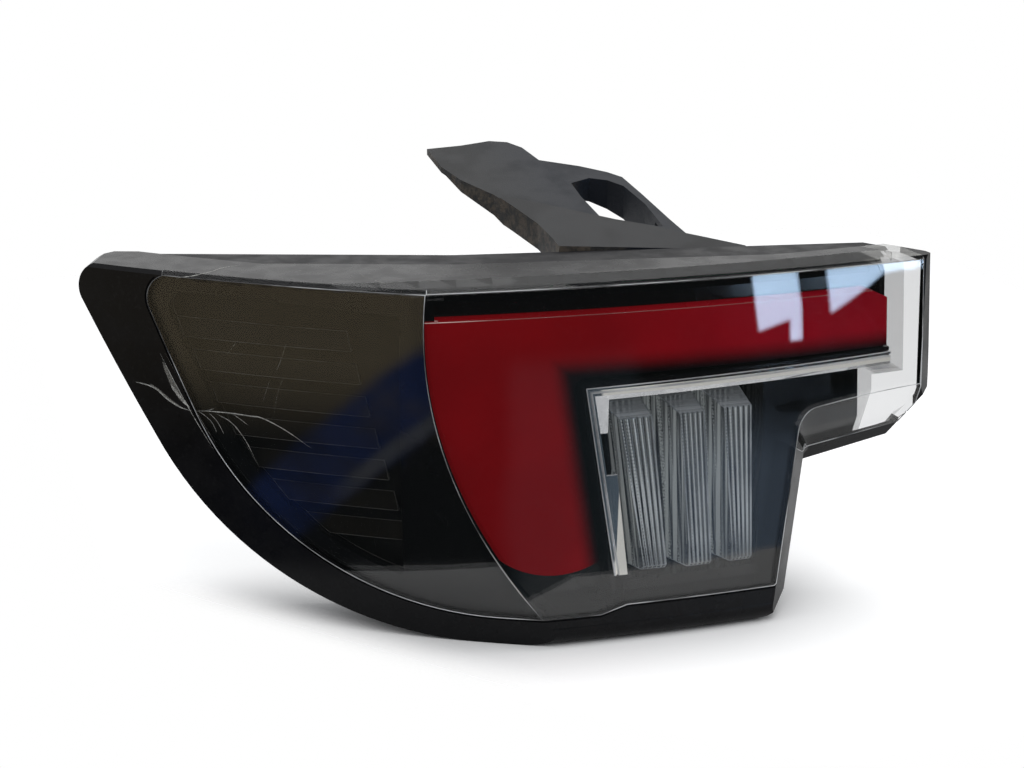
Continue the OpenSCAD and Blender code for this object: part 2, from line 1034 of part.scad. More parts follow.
module chrome_trim() {
    strip_fall = 0.27;
    leg_flat = chrome_lip + chrome_step + 1.2;
    color([0.8, 0.81, 0.83])
        difference() {
            intersection() {
                rear_layer(chrome_face, chrome_back);
                rear_prism()
                    chrome_outline();
            }
            intersection() {
                rear_layer(0, chrome_face + chrome_step_d);
                rear_prism()
                    difference() {
                        chrome_side(-chrome_lip);
                        chrome_side(-chrome_lip - chrome_step);
                    }
            }
            // Bevel of the strip
            intersection() {
                translate([chrome_corner.x, 0, chrome_corner.y])
                    rotate([0, -atan(chrome_rise), 0])
                        translate([-chrome_corner.x, 0, -chrome_lip - chrome_step])
                            difference() {
                                rear_ring()
                                    polygon([
                                        [rear_radius - 60, 0],
                                        [rear_radius + 60, 0],
                                        [rear_radius + 60, -40],
                                        [rear_radius - 60, -40]
                                    ]);
                                rear_ring()
                                    polygon([
                                        [rear_radius - 70, 10],
                                        [rear_r(0, chrome_face), 10],
                                        [rear_r(0, chrome_face), 0],
                                        [rear_r(0, chrome_face) - 40 * strip_fall, -40],
                                        [rear_radius - 70, -40]
                                    ]);
                            }
                half_space([chrome_x(0) + leg_flat, 0, 0], [-1, 0, -chrome_slant]);
            }
        }
}

module red_light_panel() {
    color([0.55, 0.02, 0.05, 0.9])
        intersection() {
            rear_layer(red_face, red_face + red_t);
            union() {
                side_skin(red_side);
                intersection() {
                    side_skin(12.3);
                    difference() {
                        rear_skin(0);
                        rear_skin(red_face + red_lip);
                    }
                }
            }
            red_prism();
        }
}

// Front corners of the bars, X and Z: upper left, upper right, lower right, lower left
bar_corners = [
    [[-0.5, -9], [15.7, -9], [22.2, -84.5], [11, -84.5]],
    [[30, -9], [42.5, -9], [45.6, -85.6], [34.7, -85.6]],
    [[53, -8.2], [67.4, -8.2], [67.2, -85.6], [57.4, -85.6]]
];
bar_flare = 10;
bar_rise = 11;

function on_face(p, t) = [p.x, rear_y(p.x, p.y, t), p.y];

module bar_block(i, g = 0) {
    c = bar_corners[i];
    left = on_face(c[3], bar_face) - on_face(c[0], bar_face);
    top = on_face(c[1], bar_face) - on_face(c[0], bar_face);
    lean = (c[1].x - c[2].x) / (c[1].y - c[2].y);
    difference() {
        intersection() {
            rear_layer(bar_face - g, bar_face + bar_depth + g);
            rear_prism()
                intersection() {
                    recess(g - gap - 0.2);
                    polygon([
                        [c[3].x - bar_flare - g, c[3].y - g],
                        [c[0].x - bar_flare - g, c[0].y + bar_rise + g],
                        [c[1].x + lean * bar_rise + g, c[1].y + bar_rise + g],
                        [c[2].x + g, c[2].y - g]
                    ]);
                }
        }
        // Slanting left face and top face
        half_space(on_face(c[0], bar_face), -cross([-bar_flare, bar_depth, 0], left), g);
        half_space(on_face(c[0], bar_face), -cross(top, [0, bar_depth, bar_rise]), g);
        // Chamfered foot
        half_space(on_face(c[3] + [0, bar_foot], bar_face), cross(top, [0, bar_foot, -bar_foot]), g);
    }
}

module bar_flute(i, k) {
    c = bar_corners[i];
    f = (k + 0.5) / bar_flutes;
    top = on_face(c[0] + (c[1] - c[0]) * f + [0, 5], bar_face);
    low = on_face(c[3] + (c[2] - c[3]) * f - [0, 5], bar_face);
    d = low - top;
    translate(top)
        rotate([0, acos(unit(d).z), atan2(d.y, d.x)])
            cylinder(r = 0.75, h = norm(d), $fn = 32);
}

module prism_bar(i) {
    color([0.85, 0.88, 0.9, 0.6])
        difference() {
            bar_block(i);
            for (k = [0 : bar_flutes - 1])
                bar_flute(i, k);
        }
}

module window(d = 0) {
    intersection() {
        bow([-180, 42], 8 + d, [-31, 61.5], 149 + d);
        polygon([
            [-260, -130],
            [-260, 50.5 + d],
            [-150, 50.5 + d],
            [-76 + d, 47 + d],
            [-76 + d, -130]
        ]);
    }
}

module side_bezel() {
    rim_t = 2;
    rim_depth = 14.5;
    color([0.04, 0.04, 0.042])
        intersection() {
            envelope(skin_wall + inner_clear);
            rear_skin(6.5);
            union() {
                intersection() {
                    side_layer(side_face, side_face + 2.5);
                    difference() {
                        envelope(skin_wall + inner_clear);
                        draw_prism()
                            window();
                    }
                    half_space([0, 0, bottom_z + 12], [0, 0, -1]);
                }
                intersection() {
                    side_layer(side_face, rim_depth);
                    draw_prism()
                        difference() {
                            window(rim_t);
                            window();
                        }
                }
            }
        }
}

slat_top = 28;
function slat_right(z) = -99 + 0.275 * (slat_top - z);

module louvre_panel() {
    color([0.05, 0.05, 0.052])
        intersection() {
            envelope(skin_wall + inner_clear);
            draw_prism()
                window(-gap);
            union() {
                side_layer(louvre_depth, louvre_depth + 2);
                for (i = [0 : slat_count - 1])
                    let (z = slat_top - i * slat_pitch, r = side_r(z, louvre_depth))
                    intersection() {
                        side_ring()
                            polygon([
                                [r - 1, z],
                                [r + slat_h, z],
                                [side_r(z + 9, louvre_depth) - 0.2, z + 9],
                                [side_r(z + 9, louvre_depth) - 1, z + 9]
                            ]);
                        draw_prism()
                            polygon([
                                [-230, z - 5],
                                [-230, z + 12],
                                [slat_right(z + 12), z + 12],
                                [slat_right(z - 5), z - 5]
                            ]);
                    }
            }
        }
}

cell_wall = 2;

module diffuser_panel() {
    color([0.92, 0.92, 0.9])
        intersection() {
            rear_layer(diffuser_face, diffuser_face + diffuser_t);
            side_skin(red_side);
            red_prism();
        }
}

module reflector_tray() {
    color([0.85, 0.85, 0.86])
        difference() {
            intersection() {
                rear_skin(tray_face);
                side_skin(red_side + 0.4);
                red_prism(1);
            }
            deeper(tail_depth - 0.1);
            for (p = tail_led_places)
                box([p.x - (led_pitch.x - cell_wall) / 2, -130, p.y - (led_pitch.y - cell_wall) / 2],
                    [led_pitch.x - cell_wall, 130, led_pitch.y - cell_wall]);
            for (p = tail_screws)
                along_y([p.x, -120, p.y], 5, 120);
        }
}

module tail_led_board() {
    color([0.05, 0.3, 0.12])
        difference() {
            intersection() {
                flat_layer(tail_depth, tail_depth + board_t);
                side_skin(red_side + 0.8);
                union() {
                    red_prism(1.5);
                    for (i = [0 : len(tail_screws) - 1])
                        lug(tail_screws[i], tail_lug_ends[i]);
                }
            }
            all_board_screws();
        }
}

module tail_leds() {
    color([0.95, 0.9, 0.6])
        intersection() {
            flat_layer(tail_depth - led_h, tail_depth);
            union() {
                for (p = tail_led_places)
                    box([p.x - led_w / 2, -130, p.y - led_w / 2], [led_w, 130, led_w]);
            }
        }
}

module signal_led_board() {
    color([0.05, 0.3, 0.12])
        difference() {
            intersection() {
                flat_layer(signal_depth, signal_depth + board_t);
                union() {
                    rear_prism()
                        polygon([[-17, 3], [83, 3], [83, -78], [74, -88], [8, -88], [-17, -20]]);
                    for (p = signal_screws)
                        lug(p, [p.x < 40 ? p.x + 6 : p.x - 6, p.y < -80 ? p.y + 12 : p.y]);
                }
            }
            all_board_screws();
        }
}

signal_led_count = 6;
module signal_leds() {
    color([0.95, 0.9, 0.6])
        intersection() {
            flat_layer(signal_depth - led_h, signal_depth);
            union() {
                for (c = bar_corners, k = [0 : signal_led_count - 1])
                    let (
                        f = (k + 0.5) / signal_led_count,
                        a = (c[0] + c[1]) / 2,
                        b = (c[2] + c[3]) / 2,
                        p = a + (b - a) * f
                    )
                    box([p.x - led_w / 2, -130, p.y - led_w / 2], [led_w, 130, led_w]);
            }
        }
}

module driver_board() {
    color([0.05, 0.3, 0.12])
        difference() {
            box([driver_corner.x, driver_y, driver_corner.y], [driver_size.x, board_t, driver_size.y]);
            all_board_screws();
            contact_rows();
        }
}

module driver_chips() {
    color([0.1, 0.1, 0.1]) {
        box([28, driver_y - 1.6, 33], [9, 1.6, 9]);
        box([44, driver_y - 1.6, 36], [5, 1.6, 8]);
        box([54, driver_y - 4, 35], [7, 4, 7]);
        box([66, driver_y - 2.2, 34], [6, 2.2, 7]);
        for (p = [[24, 24], [76, 24], [76, cap_z]])
            along_y([p.x, driver_y - cap_h, p.y], cap_r, cap_h);
    }
}

module board_screws() {
    color([0.7, 0.7, 0.72])
        all_board_screws();
}

module wire(points, r) {
    for (i = [0 : len(points) - 2]) {
        d = points[i + 1] - points[i];
        translate(points[i])
            rotate([0, acos(unit(d).z), atan2(d.y, d.x)])
                cylinder(r = r, h = norm(d), $fn = 24);
    }
    for (i = [1 : len(points) - 2])
        translate(points[i])
            sphere(r + 0.02, $fn = 24);
}

wire_r = 0.8;
module inner_harness() {
    tail_y = flat_y(32.5, tail_depth + board_t) + 0.1;
    signal_back = flat_y(1.5, signal_depth + board_t) + 0.1;
    plug = [12, 4, 5];
    color([0.12, 0.12, 0.12]) {
        for (i = [0 : 3])
            wire([
                [20 + 2.4 * i, driver_y - 2, 17],
                [12 + 2.4 * i, driver_y - 3, 20],
                [-2 + 2.4 * i, tail_y + 2.5, 30]
            ], wire_r);
        for (i = [0 : 2])
            wire([
                [36 + 2.4 * i, driver_y - 2, 15],
                [36 + 2.4 * i, driver_y - 1, 7],
                [36 + 2.4 * i, signal_back + 3, -1]
            ], wire_r);
        box([18, driver_y - plug.y, 14.5], plug);
        box([34, driver_y - plug.y, 13], [10, plug.y, 5]);
        box([-4, tail_y, 27.5], plug);
        box([34, signal_back, -3.5], [10, plug.y, 5]);
    }
}

pin_w = 1.2;
module contact_rows(g = 0) {
    for (x = [-8, 0, 8], z = [-3.5, 3.5])
        box([socket_c.x + x - pin_w / 2 - g, driver_y - 1.9, socket_c.z + z - pin_w / 2 - g],
            [pin_w + 2 * g, socket_c.y - 6 - driver_y + 1.9, pin_w + 2 * g]);
}

module contact_pins() {
    color([0.8, 0.7, 0.4])
        contact_rows();
}

socket_out = 7;
module connector_socket() {
    wall = 1.6;
    board_back = driver_y + board_t;
    color([0.12, 0.12, 0.13])
        difference() {
            union() {
                box([socket_c.x - socket_size.x / 2, board_back, socket_c.z - socket_size.y / 2],
                    [socket_size.x, socket_c.y + socket_out - board_back, socket_size.y]);
                box([socket_c.x - 3, socket_c.y + socket_out - 4, socket_c.z + socket_size.y / 2 - 0.5],
                    [6, 3, 2]);
            }
            box([socket_c.x - socket_size.x / 2 + wall, socket_c.y - 9, socket_c.z - socket_size.y / 2 + wall],
                [socket_size.x - 2 * wall, 30, socket_size.y - 2 * wall]);
            contact_rows();
        }
}

module socket_seal() {
    w = 3.2;
    color([0.15, 0.15, 0.15])
        difference() {
            box([socket_c.x - socket_size.x / 2 - w, socket_c.y, socket_c.z - socket_size.y / 2 - w],
                [socket_size.x + 2 * w, 2.2, socket_size.y + 2 * w]);
            box([socket_c.x - socket_size.x / 2, socket_c.y - 1, socket_c.z - socket_size.y / 2],
                [socket_size.x, 5, socket_size.y]);
        }
}

module mounting_studs() {
    color([0.72, 0.72, 0.7]) {
        stud(main_seat);
        stud(side_seat);
    }
}

module stud_gaskets() {
    gasket_t = 3;
    color([0.13, 0.13, 0.13])
        for (p = [main_seat, side_seat])
            difference() {
                along_y(p, seat_r - 1, gasket_t);
                along_y(p - [0, 1, 0], stud_root_r + 1, gasket_t + 2);
            }
}

module vent_cap() {
    color([0.1, 0.1, 0.1])
        difference() {
            union() {
                along_y(vent_seat, 7.5, 4);
                along_y(vent_seat - [0, 9, 0], 3.5, 10);
            }
            along_y(vent_seat - [0, 10, 0], 1.6, 12);
            for (a = [0 : 60 : 300])
                translate(vent_seat + [0, 1.2, 0])
                    rotate([0, a, 0])
                        box([5.5, 0, -0.8], [4, 1.4, 1.6]);
        }
}

arm_outline = [
    [-43.9, 104.5], [-24, 106.6], [-7, 110.4], [2.6, 108], [8.8, 100.7], [13.3, 85], [33, 75.7],
    [46, 67], [52, 60.6], [55.5, 40.6], [59.7, 12], [62.4, -3], [75.6, -11], [87.6, -18.5],
    [87.6, -40], [-7.7, -40], [-7.7, -12], [-8.5, -1], [-11, 15], [-18, 35], [-23.5, 49],
    [-36, 67], [-42, 83]
];
arm_hole = [
    [21.7, 57], [33.5, 61.5], [42.5, 58], [49, 50.5], [53, 29.7], [53.3, 5.8], [48.7, 5.3],
    [30, 15.6], [24.3, 18], [21.8, 41.8]
];
// The near plate, whose far edge is the crease across the arm
arm_near = [
    [-60, -60], [120, -60], [120, -40.2], [85, -18.4], [61.5, -3.7], [52.5, 3.5], [30.6, 14.7],
    [13.8, 25.6], [-3.1, 36.4], [-15.7, 44.5], [-60, 44.5]
];

// Sloped slab from h above the arm's sheet down to d below it
module arm_slab(d, h = 0) {
    translate([0, -12, top_z])
        rotate([atan(arm_slope), 0, 0])
            translate([-big, -big, -d])
                cube([2 * big, 2 * big, d + h]);
}

module arm_plan(d, h = 0) {
    intersection() {
        arm_slab(d, h);
        translate([0, 0, -200])
            linear_extrude(400)
                children();
    }
}

module mounting_arm() {
    rim_w = 3;
    hole_wall = 2;
    hole_wall_fall = 0.33;
    color([0.16, 0.16, 0.165])
        difference() {
            union() {
                difference() {
                    union() {
                        arm_plan(arm_t)
                            difference() {
                                polygon(arm_outline);
                                polygon(arm_hole);
                            }
                        arm_plan(arm_t, arm_step)
                            intersection() {
                                polygon(arm_outline);
                                polygon(arm_near);
                            }
                        // Wall along the far side of the hole, deeper to the right
                        intersection() {
                            arm_plan(3 * arm_rim)
                                difference() {
                                    translate([hole_wall, hole_wall])
                                        polygon(arm_hole);
                                    polygon(arm_hole);
                                }
                            half_space([23, 60, 72.5], [-hole_wall_fall, arm_slope, -1]);
                            half_space([0, 16, 0], [0, -1, 0]);
                        }
                        // Skirt and rim, which run out towards the tip
                        intersection() {
                            union() {
                                arm_plan(arm_skirt)
                                    difference() {
                                        polygon(arm_outline);
                                        translate([rim_w, 0])
                                            polygon(arm_outline);
                                    }
                                arm_plan(arm_rim)
                                    difference() {
                                        polygon(arm_outline);
                                        translate([-rim_w, -rim_w])
                                            polygon(arm_outline);
                                        translate([rim_w, rim_w])
                                            polygon(arm_outline);
                                    }
                            }
                            half_space([0, 92, 91.2], [0, 0.55, -1]);
                        }
                    }
                    difference() {
                        box([-300, -200, -100], [600, 400, 300]);
                        behind(-arm_gap);
                    }
                }
                // Flange on the housing's back
                intersection() {
                    difference() {
                        behind(-arm_gap);
                        behind(-arm_gap - arm_t);
                    }
                    arm_slab(100);
                    half_space([0, 0, arm_flange_low], [0, 0, -1]);
                    box([-7.7, -100, 0], [95.3, 200, 100]);
                }
            }
            all_arm_screws();
        }
}

module arm_screws() {
    color([0.6, 0.6, 0.62])
        all_arm_screws();
}

outer_lens();
lens_border();
wing_rim();
wing_divider();
lens_seal();
rear_housing();
inner_bezel();
side_bezel();
louvre_panel();
red_light_panel();
chrome_trim();
prism_bar(0);  // prism_bar_1
prism_bar(1);  // prism_bar_2
prism_bar(2);  // prism_bar_3
diffuser_panel();
reflector_tray();
tail_led_board();
tail_leds();
signal_led_board();
signal_leds();
driver_board();
driver_chips();
board_screws();
inner_harness();
connector_socket();
contact_pins();
socket_seal();
mounting_studs();
stud_gaskets();
vent_cap();
mounting_arm();
arm_screws();
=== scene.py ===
"""Left rear tail light cluster: materials, scratches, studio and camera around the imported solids.

All lengths are metres in the part's frame: +Z up, -Y the lit face, origin at the main stud's seat.
"""
import math

import bmesh
import bpy
from mathutils import Matrix, Vector
from mathutils.bvhtree import BVHTree


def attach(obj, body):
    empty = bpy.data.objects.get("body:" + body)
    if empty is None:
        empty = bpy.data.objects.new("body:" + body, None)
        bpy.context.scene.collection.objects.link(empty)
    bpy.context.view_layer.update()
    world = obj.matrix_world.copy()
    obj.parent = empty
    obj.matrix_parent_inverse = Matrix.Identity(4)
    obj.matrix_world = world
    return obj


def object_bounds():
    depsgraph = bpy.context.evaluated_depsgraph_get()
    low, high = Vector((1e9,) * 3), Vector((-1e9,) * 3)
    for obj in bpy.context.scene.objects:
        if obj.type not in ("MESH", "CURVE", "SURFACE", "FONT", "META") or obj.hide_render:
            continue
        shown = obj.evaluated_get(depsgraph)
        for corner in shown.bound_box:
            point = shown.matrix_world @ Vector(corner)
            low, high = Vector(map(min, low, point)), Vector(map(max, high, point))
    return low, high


MM = 0.001
BLACK = (0.0, 0.0, 0.0)
WHITE = (1.0, 1.0, 1.0)

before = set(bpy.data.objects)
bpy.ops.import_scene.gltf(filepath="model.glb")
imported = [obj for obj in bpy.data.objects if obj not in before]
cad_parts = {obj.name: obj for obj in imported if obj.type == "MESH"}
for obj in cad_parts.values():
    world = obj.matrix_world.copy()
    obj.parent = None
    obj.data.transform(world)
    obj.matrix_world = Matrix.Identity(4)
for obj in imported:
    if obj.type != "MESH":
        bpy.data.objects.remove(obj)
CAD_LOW, CAD_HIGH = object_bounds()

# Camera: direction, distance and target that give the photograph's view
CAM_AZ, CAM_EL = -18.0, 16.0
CAM_DISTANCE = 0.9
CAM_TARGET = Vector((-0.040, -0.032, 0.0))
IMAGE_W, IMAGE_H = 1024, 768
FOCAL_PX = 1850.0
SENSOR = 36.0


def direction(azimuth, elevation):
    """Unit vector from the object towards a camera or lamp in that direction."""
    a, e = math.radians(azimuth), math.radians(elevation)
    return Vector((math.sin(a) * math.cos(e), -math.cos(a) * math.cos(e), math.sin(e)))


def aim(obj, place, target):
    """Put obj at place with its -Z axis towards target and its Y axis upwards."""
    back = (Vector(place) - Vector(target)).normalized()
    right = Vector((0, 0, 1)).cross(back).normalized()
    up = back.cross(right)
    turn = Matrix((right, up, back)).transposed()
    obj.matrix_world = Matrix.Translation(place) @ turn.to_4x4()


def make_camera():
    data = bpy.data.cameras.new("camera")
    data.sensor_width = SENSOR
    data.lens = SENSOR * FOCAL_PX / IMAGE_W
    data.clip_start = 0.02
    data.clip_end = 20
    obj = bpy.data.objects.new("camera", data)
    bpy.context.collection.objects.link(obj)
    aim(obj, CAM_TARGET + direction(CAM_AZ, CAM_EL) * CAM_DISTANCE, CAM_TARGET)
    bpy.context.scene.camera = obj
    return obj


camera = make_camera()
bpy.context.scene.view_settings.view_transform = "Standard"


# Material helpers
class Nodes:
    """Short calls for building one material's or the world's node tree."""

    def __init__(self, tree):
        self.tree = tree
        self.tree.nodes.clear()

    def add(self, kind, **settings):
        node = self.tree.nodes.new(kind)
        for key, value in settings.items():
            setattr(node, key, value)
        return node

    def link(self, source, target):
        self.tree.links.new(source, target)

    def put(self, socket, value):
        if isinstance(value, bpy.types.NodeSocket):
            self.link(value, socket)
        else:
            socket.default_value = value

    def math(self, op, a, b=0.0, c=0.0):
        node = self.add("ShaderNodeMath", operation=op)
        for socket, value in zip(node.inputs, (a, b, c)):
            self.put(socket, value)
        return node.outputs[0]

    def times(self, a, b):
        return self.math("MULTIPLY", a, b)

    def minus(self, a, b):
        return self.math("SUBTRACT", a, b)

    def larger(self, a, b):
        return self.math("MAXIMUM", a, b)

    def smaller(self, a, b):
        return self.math("MINIMUM", a, b)

    def size(self, value):
        return self.math("ABSOLUTE", value)

    def line(self, value, slope, start):
        """value * slope + start."""
        return self.math("MULTIPLY_ADD", value, slope, start)

    def ramp(self, value, low, high, out_low=0.0, out_high=1.0, smooth=True):
        """out_low where value is at low or beyond, out_high at high, and a soft or even rise between."""
        node = self.add("ShaderNodeMapRange")
        node.interpolation_type = "SMOOTHSTEP" if smooth else "LINEAR"
        self.put(node.inputs["Value"], value)
        self.put(node.inputs["From Min"], low)
        self.put(node.inputs["From Max"], high)
        self.put(node.inputs["To Min"], out_low)
        self.put(node.inputs["To Max"], out_high)
        return node.outputs[0]

    def between(self, value, low, high, soft):
        """1 from low to high and 0 outside, with edges twice soft wide."""
        return self.times(
            self.ramp(value, low - soft, low + soft), self.ramp(value, high + soft, high - soft)
        )

    def blend(self, factor, a, b):
        """Number between a and b."""
        node = self.add("ShaderNodeMix", data_type="FLOAT")
        self.put(node.inputs["Factor"], factor)
        self.put(node.inputs["A"], a)
        self.put(node.inputs["B"], b)
        return node.outputs[0]

    def mix(self, factor, a, b):
        """Colour between a and b."""
        node = self.add("ShaderNodeMix", data_type="RGBA")
        self.put(node.inputs["Factor"], factor)
        for name, item in (("A", a), ("B", b)):
            socket = [s for s in node.inputs if s.name == name and s.type == "RGBA"][0]
            self.put(socket, item if isinstance(item, bpy.types.NodeSocket) else tuple(item) + (1.0,))
        return [s for s in node.outputs if s.type == "RGBA"][0]

    def coords(self):
        return self.add("ShaderNodeTexCoord").outputs["Object"]

    def split(self, vector):
        node = self.add("ShaderNodeSeparateXYZ")
        self.link(vector, node.inputs[0])
        return node.outputs

    def xyz(self):
        return self.split(self.coords())

    def normal(self):
        return self.split(self.add("ShaderNodeNewGeometry").outputs["Normal"])

    def stretched(self, scale, turn=(0.0, 0.0, 0.0)):
        node = self.add("ShaderNodeMapping")
        self.link(self.coords(), node.inputs["Vector"])
        node.inputs["Scale"].default_value = scale
        node.inputs["Rotation"].default_value = [math.radians(a) for a in turn]
        return node.outputs[0]

    def noise(self, scale, detail=3.0, rough=0.5, vector=None):
        node = self.add("ShaderNodeTexNoise")
        self.put(node.inputs["Vector"], vector if vector else self.coords())
        node.inputs["Scale"].default_value = scale
        node.inputs["Detail"].default_value = detail
        node.inputs["Roughness"].default_value = rough
        return node.outputs["Fac"]

    def bump(self, height, strength, distance):
        node = self.add("ShaderNodeBump")
        node.inputs["Strength"].default_value = strength
        node.inputs["Distance"].default_value = distance
        self.put(node.inputs["Height"], height)
        return node.outputs[0]


def material(name, build):
    """A Principled material; build(n, s) sets its sockets s and wires its textures."""
    mat = bpy.data.materials.new(name)
    mat.use_nodes = True
    n = Nodes(mat.node_tree)
    shader = n.add("ShaderNodeBsdfPrincipled")
    out = n.add("ShaderNodeOutputMaterial")
    n.link(shader.outputs[0], out.inputs["Surface"])
    build(n, shader.inputs)
    return mat


GRAIN_DEPTH = 0.2 * MM
DUST = (0.3, 0.3, 0.29)


def darker(color, share):
    return tuple(c * share for c in color)


def plastic(name, color, rough, grain=0.0, grain_scale=2500.0, level=0.5, dust=0.0):
    """Moulded plastic with mottled colour, uneven gloss, fine grain and a little dust."""
    def build(n, s):
        base = n.mix(n.ramp(n.noise(60.0, 4.0), 0.35, 0.65), darker(color, 0.72), color)
        if dust:
            specks = n.ramp(n.noise(420.0, 6.0, 0.7), 0.5, 0.8, 0.0, dust)
            base = n.mix(specks, base, DUST)
        n.put(s["Base Color"], base)
        n.put(s["Roughness"], n.ramp(n.noise(90.0, 3.0), 0.3, 0.7, rough * 0.85, min(1.0, rough * 1.15)))
        s["Specular IOR Level"].default_value = level
        if grain:
            n.put(s["Normal"], n.bump(n.noise(grain_scale, 2.0), grain, GRAIN_DEPTH))
    return material(name, build)


def metal(name, color, rough, streaks=0.0):
    """Bare metal with uneven colour and gloss, and drawing marks where streaks is above 0."""
    def build(n, s):
        s["Metallic"].default_value = 1.0
        n.put(s["Base Color"], n.mix(n.ramp(n.noise(120.0, 4.0), 0.4, 0.7), darker(color, 0.9), color))
        spread = n.noise(300.0, 3.0, 0.5, n.stretched((1.0, 8.0, 1.0)))
        n.put(s["Roughness"], n.ramp(spread, 0.3, 0.7, rough, rough + 0.08))
        if streaks:
            n.put(s["Normal"], n.bump(spread, streaks, 0.1 * MM))
    return material(name, build)


def give(mat, *nodes):
    """Put a material on every slot of the named CAD nodes."""
    for name in nodes:
        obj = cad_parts[name]
        if not obj.material_slots:
            obj.data.materials.append(mat)
        for slot in obj.material_slots:
            slot.material = mat


# A high index makes the thin lens mirror the room as strongly as the photograph shows
LENS_IOR = 2.2
LENS_ALPHA = 0.20
# Right of this, the lens has a streaky grey top
GREY_TOP_X = 130 * MM


def lens_build(n, s):
    """Thin clear plastic, a little smoked, with hairline wear; faces to the sides mirror less."""
    normal = n.normal()
    right_end = n.ramp(n.xyz()[0], GREY_TOP_X - 2 * MM, GREY_TOP_X + 2 * MM)
    upward = n.times(n.ramp(normal[2], 0.8, 0.92), right_end)
    sideways = n.ramp(n.size(normal[0]), 0.85, 0.97)
    wear = n.ramp(n.noise(900.0, 5.0, 0.6, n.stretched((1.0, 1.0, 0.12), (0, 25, 0))), 0.62, 0.72)
    clear = n.mix(wear, (0.012, 0.014, 0.013), (0.04, 0.04, 0.04))
    streaks = n.ramp(n.noise(160.0, 5.0, 0.7, n.stretched((0.3, 1.0, 1.0), (0, 0, 15))), 0.42, 0.66)
    streaky = n.mix(streaks, (0.10, 0.10, 0.085), (0.42, 0.42, 0.38))
    n.put(s["Base Color"], n.mix(upward, clear, streaky))
    n.put(s["Roughness"], n.ramp(n.noise(40.0, 3.0), 0.3, 0.7, 0.004, 0.012))
    s["IOR"].default_value = LENS_IOR
    n.put(s["Specular IOR Level"], n.ramp(sideways, 0.0, 1.0, 0.5, 0.12, smooth=False))
    cover = n.ramp(wear, 0.0, 1.0, LENS_ALPHA, LENS_ALPHA + 0.02, smooth=False)
    n.put(s["Alpha"], n.larger(cover, n.times(upward, 0.5)))


# The red L's inner edges: its leg keeps beside the chrome trim's leg, which slants down from the
# trim's corner, and its arm has a level lower side
TRIM_CORNER_X, TRIM_CORNER_Z = -18.6 * MM, 8.3 * MM
TRIM_LEG_SLOPE = -0.1325
RED_LEG_INSET = 5.5 * MM
RED_ARM_LOW = 13.5 * MM
RED_FADE = 11 * MM


def red_build(n, s):
    """Deep red plastic with painted shade along the inner edges of the L, and a painted red glow."""
    x, _, z = n.xyz()
    leg_start = TRIM_CORNER_X - TRIM_LEG_SLOPE * TRIM_CORNER_Z - RED_LEG_INSET
    beside_leg = n.minus(n.line(z, TRIM_LEG_SLOPE, leg_start), x)
    inner = n.larger(beside_leg, n.minus(z, RED_ARM_LOW))
    cloud = n.ramp(n.noise(18.0, 2.0), 0.35, 0.7, 0.82, 1.0)
    # Painted shade: the red darkens, unevenly, into the inner edges of the L
    shade = n.times(n.ramp(inner, 0.0, RED_FADE), cloud)
    red = n.mix(n.ramp(x, -0.05, 0.14), (0.30, 0.004, 0.008), (0.42, 0.004, 0.022))
    n.put(s["Base Color"], n.mix(shade, (0.006, 0.001, 0.002), red))
    n.put(s["Roughness"], n.ramp(n.noise(50.0, 2.0), 0.3, 0.7, 0.22, 0.30))
    s["Specular IOR Level"].default_value = 0.04
    # Painted glow: the red L gives off a little red light of its own, darker where the painted shade lies
    n.put(s["Emission Color"], n.mix(shade, BLACK, (0.30, 0.0, 0.004)))
    s["Emission Strength"].default_value = 0.34
    n.put(s["Normal"], n.bump(n.noise(500.0, 2.0), 0.08, GRAIN_DEPTH))


# Cream painted on the chrome as a reflection of the pale floor
REFLECTED_CREAM = (0.86, 0.85, 0.80)
# The strip's lower side, and the width above it of the band painted with a reflection
STRIP_SLOPE, STRIP_LOW = 0.0163, 4.85 * MM
REFLECTION_BAND = 2.4 * MM


def chrome_build(n, s):
    """Bright chrome, with a painted reflection in cream along the strip's lower half and in a wedge low on
    the leg, where it is non-metal and glows.
    """
    x, _, z = n.xyz()
    above = n.minus(z, n.line(x, STRIP_SLOPE, STRIP_LOW))
    lower_half = n.times(
        n.ramp(above, -0.1 * MM, 0.0), n.ramp(above, REFLECTION_BAND + 0.1 * MM, REFLECTION_BAND - 0.1 * MM)
    )
    lower_half = n.times(lower_half, n.ramp(x, -12 * MM, -10 * MM))
    slant = n.ramp(z, -40 * MM, -80 * MM, -3.6 * MM, -6.1 * MM, smooth=False)
    wedge = n.times(n.ramp(n.minus(x, slant), 0.0, 0.4 * MM), n.ramp(z, -36 * MM, -42 * MM))
    # Painted reflection: the strip's lower band and the leg's wedge
    painted_reflection = n.larger(lower_half, wedge)
    n.put(s["Metallic"], n.ramp(painted_reflection, 0.0, 1.0, 1.0, 0.0, smooth=False))
    shine = n.mix(n.ramp(n.noise(80.0, 4.0), 0.45, 0.6), (0.82, 0.83, 0.85), (0.93, 0.94, 0.95))
    n.put(s["Base Color"], n.mix(painted_reflection, shine, REFLECTED_CREAM))
    n.put(s["Roughness"], n.ramp(n.noise(200.0, 3.0), 0.3, 0.7, 0.03, 0.06))
    # The painted reflection also glows
    n.put(s["Emission Color"], n.mix(painted_reflection, BLACK, REFLECTED_CREAM))
    s["Emission Strength"].default_value = 0.42


# Left and right side of each bar's front, in mm, at its top and at its foot
BAR_TOP_Z, BAR_FOOT_Z = -9 * MM, -84 * MM
BAR_SIDES = (
    ((-0.5, 15.7), (11.0, 22.2)),
    ((30.0, 42.5), (34.7, 45.6)),
    ((53.0, 67.4), (57.4, 67.2)),
)
# The plane of the bars' fronts: y over z, and y at z = 0
BAR_LEAN, BAR_FRONT_Y = 0.0875, -75.7 * MM
BAR_RIBS = 5
BEAD_PITCH = 1.7 * MM
COLUMN_PITCH = 7.5 * MM


